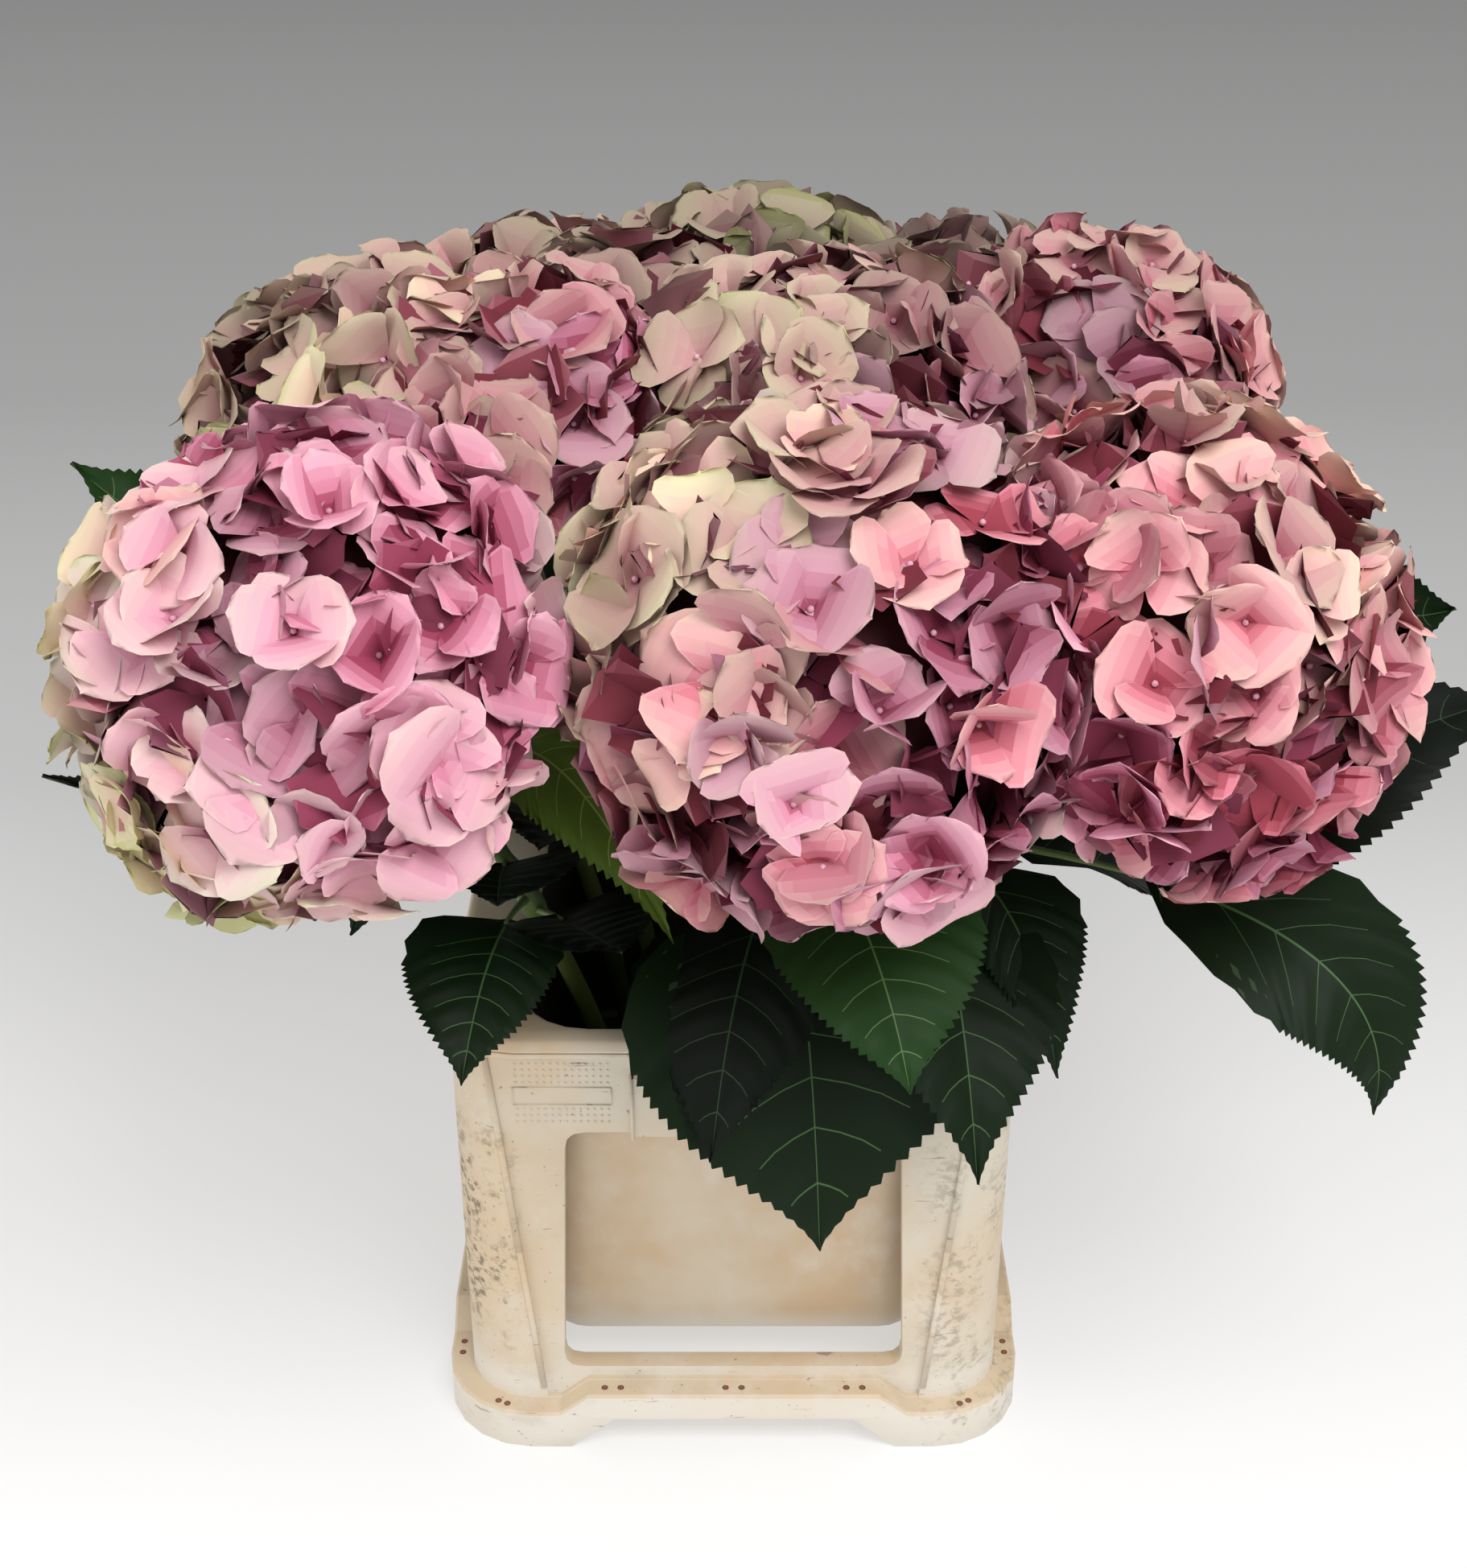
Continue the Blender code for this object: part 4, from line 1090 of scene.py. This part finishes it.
def foot_holes():
    """Small dark holes, each with a lighter rim, along the ledges of the foot. They are flat,
    and their dark is painted shade.
    """
    parts = Parts()
    quarters = [(side, front, 1) for side in (-1, 1) for front in (-1, 1)]
    places = [np.multiply(hole, quarter) for hole in HOLES for quarter in quarters]
    turn = np.arange(12) * math.pi / 6
    flat = np.stack([np.cos(turn), np.sin(turn), turn * 0], axis=1)
    for place in places:
        rings = [place + flat * radius for radius in HOLE_RADII]
        rings[1][:, 2] -= HOLE_SUNK
        parts.grids(np.array(rings)[None, ::-1], np.array([[1], [0]])[None], closed=True)
    return parts


def build_bucket():
    shell_material = plastic("old_cream_plastic", SHELL_COLOURS, True)
    inner_material = plastic("cream_vessel_plastic", VESSEL_COLOURS, False)
    vessel = ("bucket_vessel", VESSEL_ROUNDING, inner_material)
    for nodes, name, slot, rounding, made_of in (
        (FRAME_NODES, "bucket_frame_shell", "bucket_frame", SHELL_ROUNDING, shell_material),
        (("container_vessel",), "bucket_water_vessel", *vessel),
        (("container_rim",), "bucket_vessel_rim", *vessel),
    ):
        piece = softened(nodes, name, rounding)
        piece.data.materials.clear()
        piece.data.materials.append(made_of)
        if name == "bucket_water_vessel":
            # The vessel's inward faces get a dark colour: painted shade in the mouth under the
            # flowers
            inside_painted_shade = plain_material("vessel_inside_painted_shade", (0.20, 0.18, 0.14), 0.5)
            piece.data.materials.append(inside_painted_shade)
            for face in piece.data.polygons:
                inward = np.array(face.normal) * (SHIFT - np.array(face.center))
                face.material_index = int(inward[:2].sum() > 0 and face.center[2] > FLOOR - 0.002)
    details = bucket_details().piece("bucket_face_details", (shell_material,))
    # Painted shade for the flat holes
    dark = plain_material("hole_painted_shade", (0.22, 0.09, 0.06), 0.8)
    rim = plain_material("hole_rim", (0.55, 0.34, 0.24), 0.7)
    holes = foot_holes().piece("bucket_foot_holes", (dark, rim))


def build_stems():
    stem_colours = (
        plain_material("stem_green", (0.36, 0.42, 0.20), 0.5),
        plain_material("stem_dull", (0.30, 0.33, 0.17), 0.55),
        plain_material("stem_brown", (0.34, 0.29, 0.17), 0.6),
    )
    parts = Parts()
    for index, name in enumerate(BLOOMS):
        bare_end = leafy_span(name)[0]
        stem_part(parts, name, 0.0, bare_end, BARE_STEM_JOINTS, index % len(stem_colours))
    made = parts.piece("bare_stems", stem_colours)
    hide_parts(*("stem_" + name for name in BLOOMS))


def build_leaves():
    palette = []
    numbers = {}
    for tone, (blade, vein) in LEAF_TONES.items():
        under = tuple(0.65 * a + 0.35 * b for a, b in zip(blade, LEAF_UNDER_TINT))
        numbers[tone] = tuple(range(len(palette), len(palette) + 4))
        palette += (
            plain_material("leaf_" + tone, blade, 0.52, 0.14),
            plain_material("leaf_vein_" + tone, vein, 0.5, 0.2),
            plain_material("leaf_under_" + tone, under, 0.62, 0.3),
            plain_material("leaf_stalk_" + tone, LEAF_STALK, 0.5),
        )
    stem_colour = len(palette)
    palette.append(plain_material("young_stem_green", (0.30, 0.38, 0.18), 0.5))
    for index, name in enumerate(BLOOMS):
        chooser = np.random.default_rng([7, index])
        parts = Parts()
        joints = []
        for place, bends, width, roll, tone in leaves_of(name):
            joints.append(place)
            leaf(parts, bends, width, roll, numbers[tone], chooser)
        stem_part(parts, name, *leafy_span(name), joints, stem_colour)
        made = parts.piece("leafy_stem_" + name, palette)
        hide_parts("foliage_" + name)


def build_blooms():
    palette = []
    for number, shade in enumerate(petal_palette()):
        palette.append(plain_material(f"petal_{number}", shade, 0.70, 0.12))
    bud, shadow, stalk = range(len(palette), len(palette) + 3)
    palette.append(plain_material("floret_bud", (0.86, 0.66, 0.74), 0.6))
    palette.append(plain_material("bloom_shadow", (0.30, 0.10, 0.13), 0.8))
    palette.append(plain_material("pedicel", (0.62, 0.64, 0.44), 0.6))
    for index, name in enumerate(BLOOMS):
        chooser = np.random.default_rng([11, index])
        parts = Parts()
        place, facing, height = scattered(name, FLORET_SPACING, FLORET_DEPTH, chooser)
        sunk = chooser.uniform(*FLORET_SUNK, len(place))
        place = place - facing * sunk[:, None]
        # Sunk florets get painted shade
        deeper = sunk * SUNK_SHADE_STOPS
        faced = florets(parts, name, place, facing, height, PETAL_STEPS, chooser, deeper)
        buds(parts, place, faced, bud)
        pedicels(parts, name, place, height, stalk)
        place, facing, height = scattered(name, INNER_SPACING, INNER_DEPTH, chooser)
        # The inner florets get painted shade
        deeper = np.full(len(place), INNER_SHADE_STOPS)
        florets(parts, name, place, facing, height, INNER_STEPS, chooser, deeper)
        bloom_core(parts, name, shadow)
        stem_part(parts, name, TOP_FROM, 1.0, (), stalk)
        made = parts.piece("mophead_" + name, palette)
        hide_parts("bloom_" + name)


# Stage


def build_stage():
    bpy.ops.mesh.primitive_plane_add(size=FLOOR_SIZE, location=(0, FLOOR_BACK, 0))
    floor = bpy.context.object
    floor.name = "studio_floor"
    made = bpy.data.materials.new("studio_floor")
    made.use_nodes = True
    tree = made.node_tree
    place = added(tree, "NewGeometry").outputs["Position"]
    depth = added(tree, "SeparateXYZ", Vector=place).outputs["Y"]
    reached = added(tree, "MapRange", From_Min=FADE_FROM, From_Max=FADE_TO, Value=depth)
    painted_light_fade = added(tree, "ValToRGB", Fac=reached.outputs["Result"])
    stops = painted_light_fade.color_ramp.elements
    while len(stops) < len(FADE_PLACES):
        stops.new(0.5)
    for stop, where, value in zip(stops, FADE_PLACES, FADE_VALUES):
        stop.position = where
        stop.color = (value, value, value, 1)
    # Half the fade is the floor's colour and half its glow: painted light, which keeps its shadows
    # faint
    half = mixed(tree, 0.5, painted_light_fade.outputs["Color"], (0.0, 0.0, 0.0))
    inputs = tree.nodes["Principled BSDF"].inputs
    tree.links.new(half, inputs["Base Color"])
    tree.links.new(half, inputs["Emission Color"])
    inputs["Emission Strength"].default_value = 1.0
    inputs["Roughness"].default_value = 0.9
    inputs["Specular IOR Level"].default_value = 0.0
    floor.data.materials.append(made)
    world = bpy.data.worlds.new("studio")
    world.use_nodes = True
    inputs = world.node_tree.nodes["Background"].inputs
    inputs["Color"].default_value = WORLD_COLOUR
    inputs["Strength"].default_value = WORLD_STRENGTH
    bpy.context.scene.world = world
    for name, where, size, power in LIGHTS:
        light = bpy.data.lights.new(name, "AREA")
        light.size = size
        light.energy = power
        lamp = linked(name, light)
        lamp.location = where
        towards = Vector(LIT_POINT) - Vector(where)
        lamp.rotation_euler = towards.to_track_quat("-Z", "Y").to_euler()


def build_camera():
    data = bpy.data.cameras.new("camera")
    data.sensor_fit = "VERTICAL"
    data.sensor_height = SENSOR_HEIGHT
    data.lens = FOCAL_PIXELS / PHOTO_HEIGHT_PIXELS * SENSOR_HEIGHT
    camera = linked("camera", data)
    camera.location = (SHIFT[0], SHIFT[1] - CAMERA_BACK, CAMERA_HEIGHT)
    camera.rotation_euler = (math.radians(90 - CAMERA_DOWN), 0, 0)
    scene = bpy.context.scene
    scene.camera = camera
    scene.view_settings.view_transform = "Standard"
    scene.view_settings.look = "None"


build_camera()
build_stage()
build_bucket()
build_stems()
build_leaves()
build_blooms()
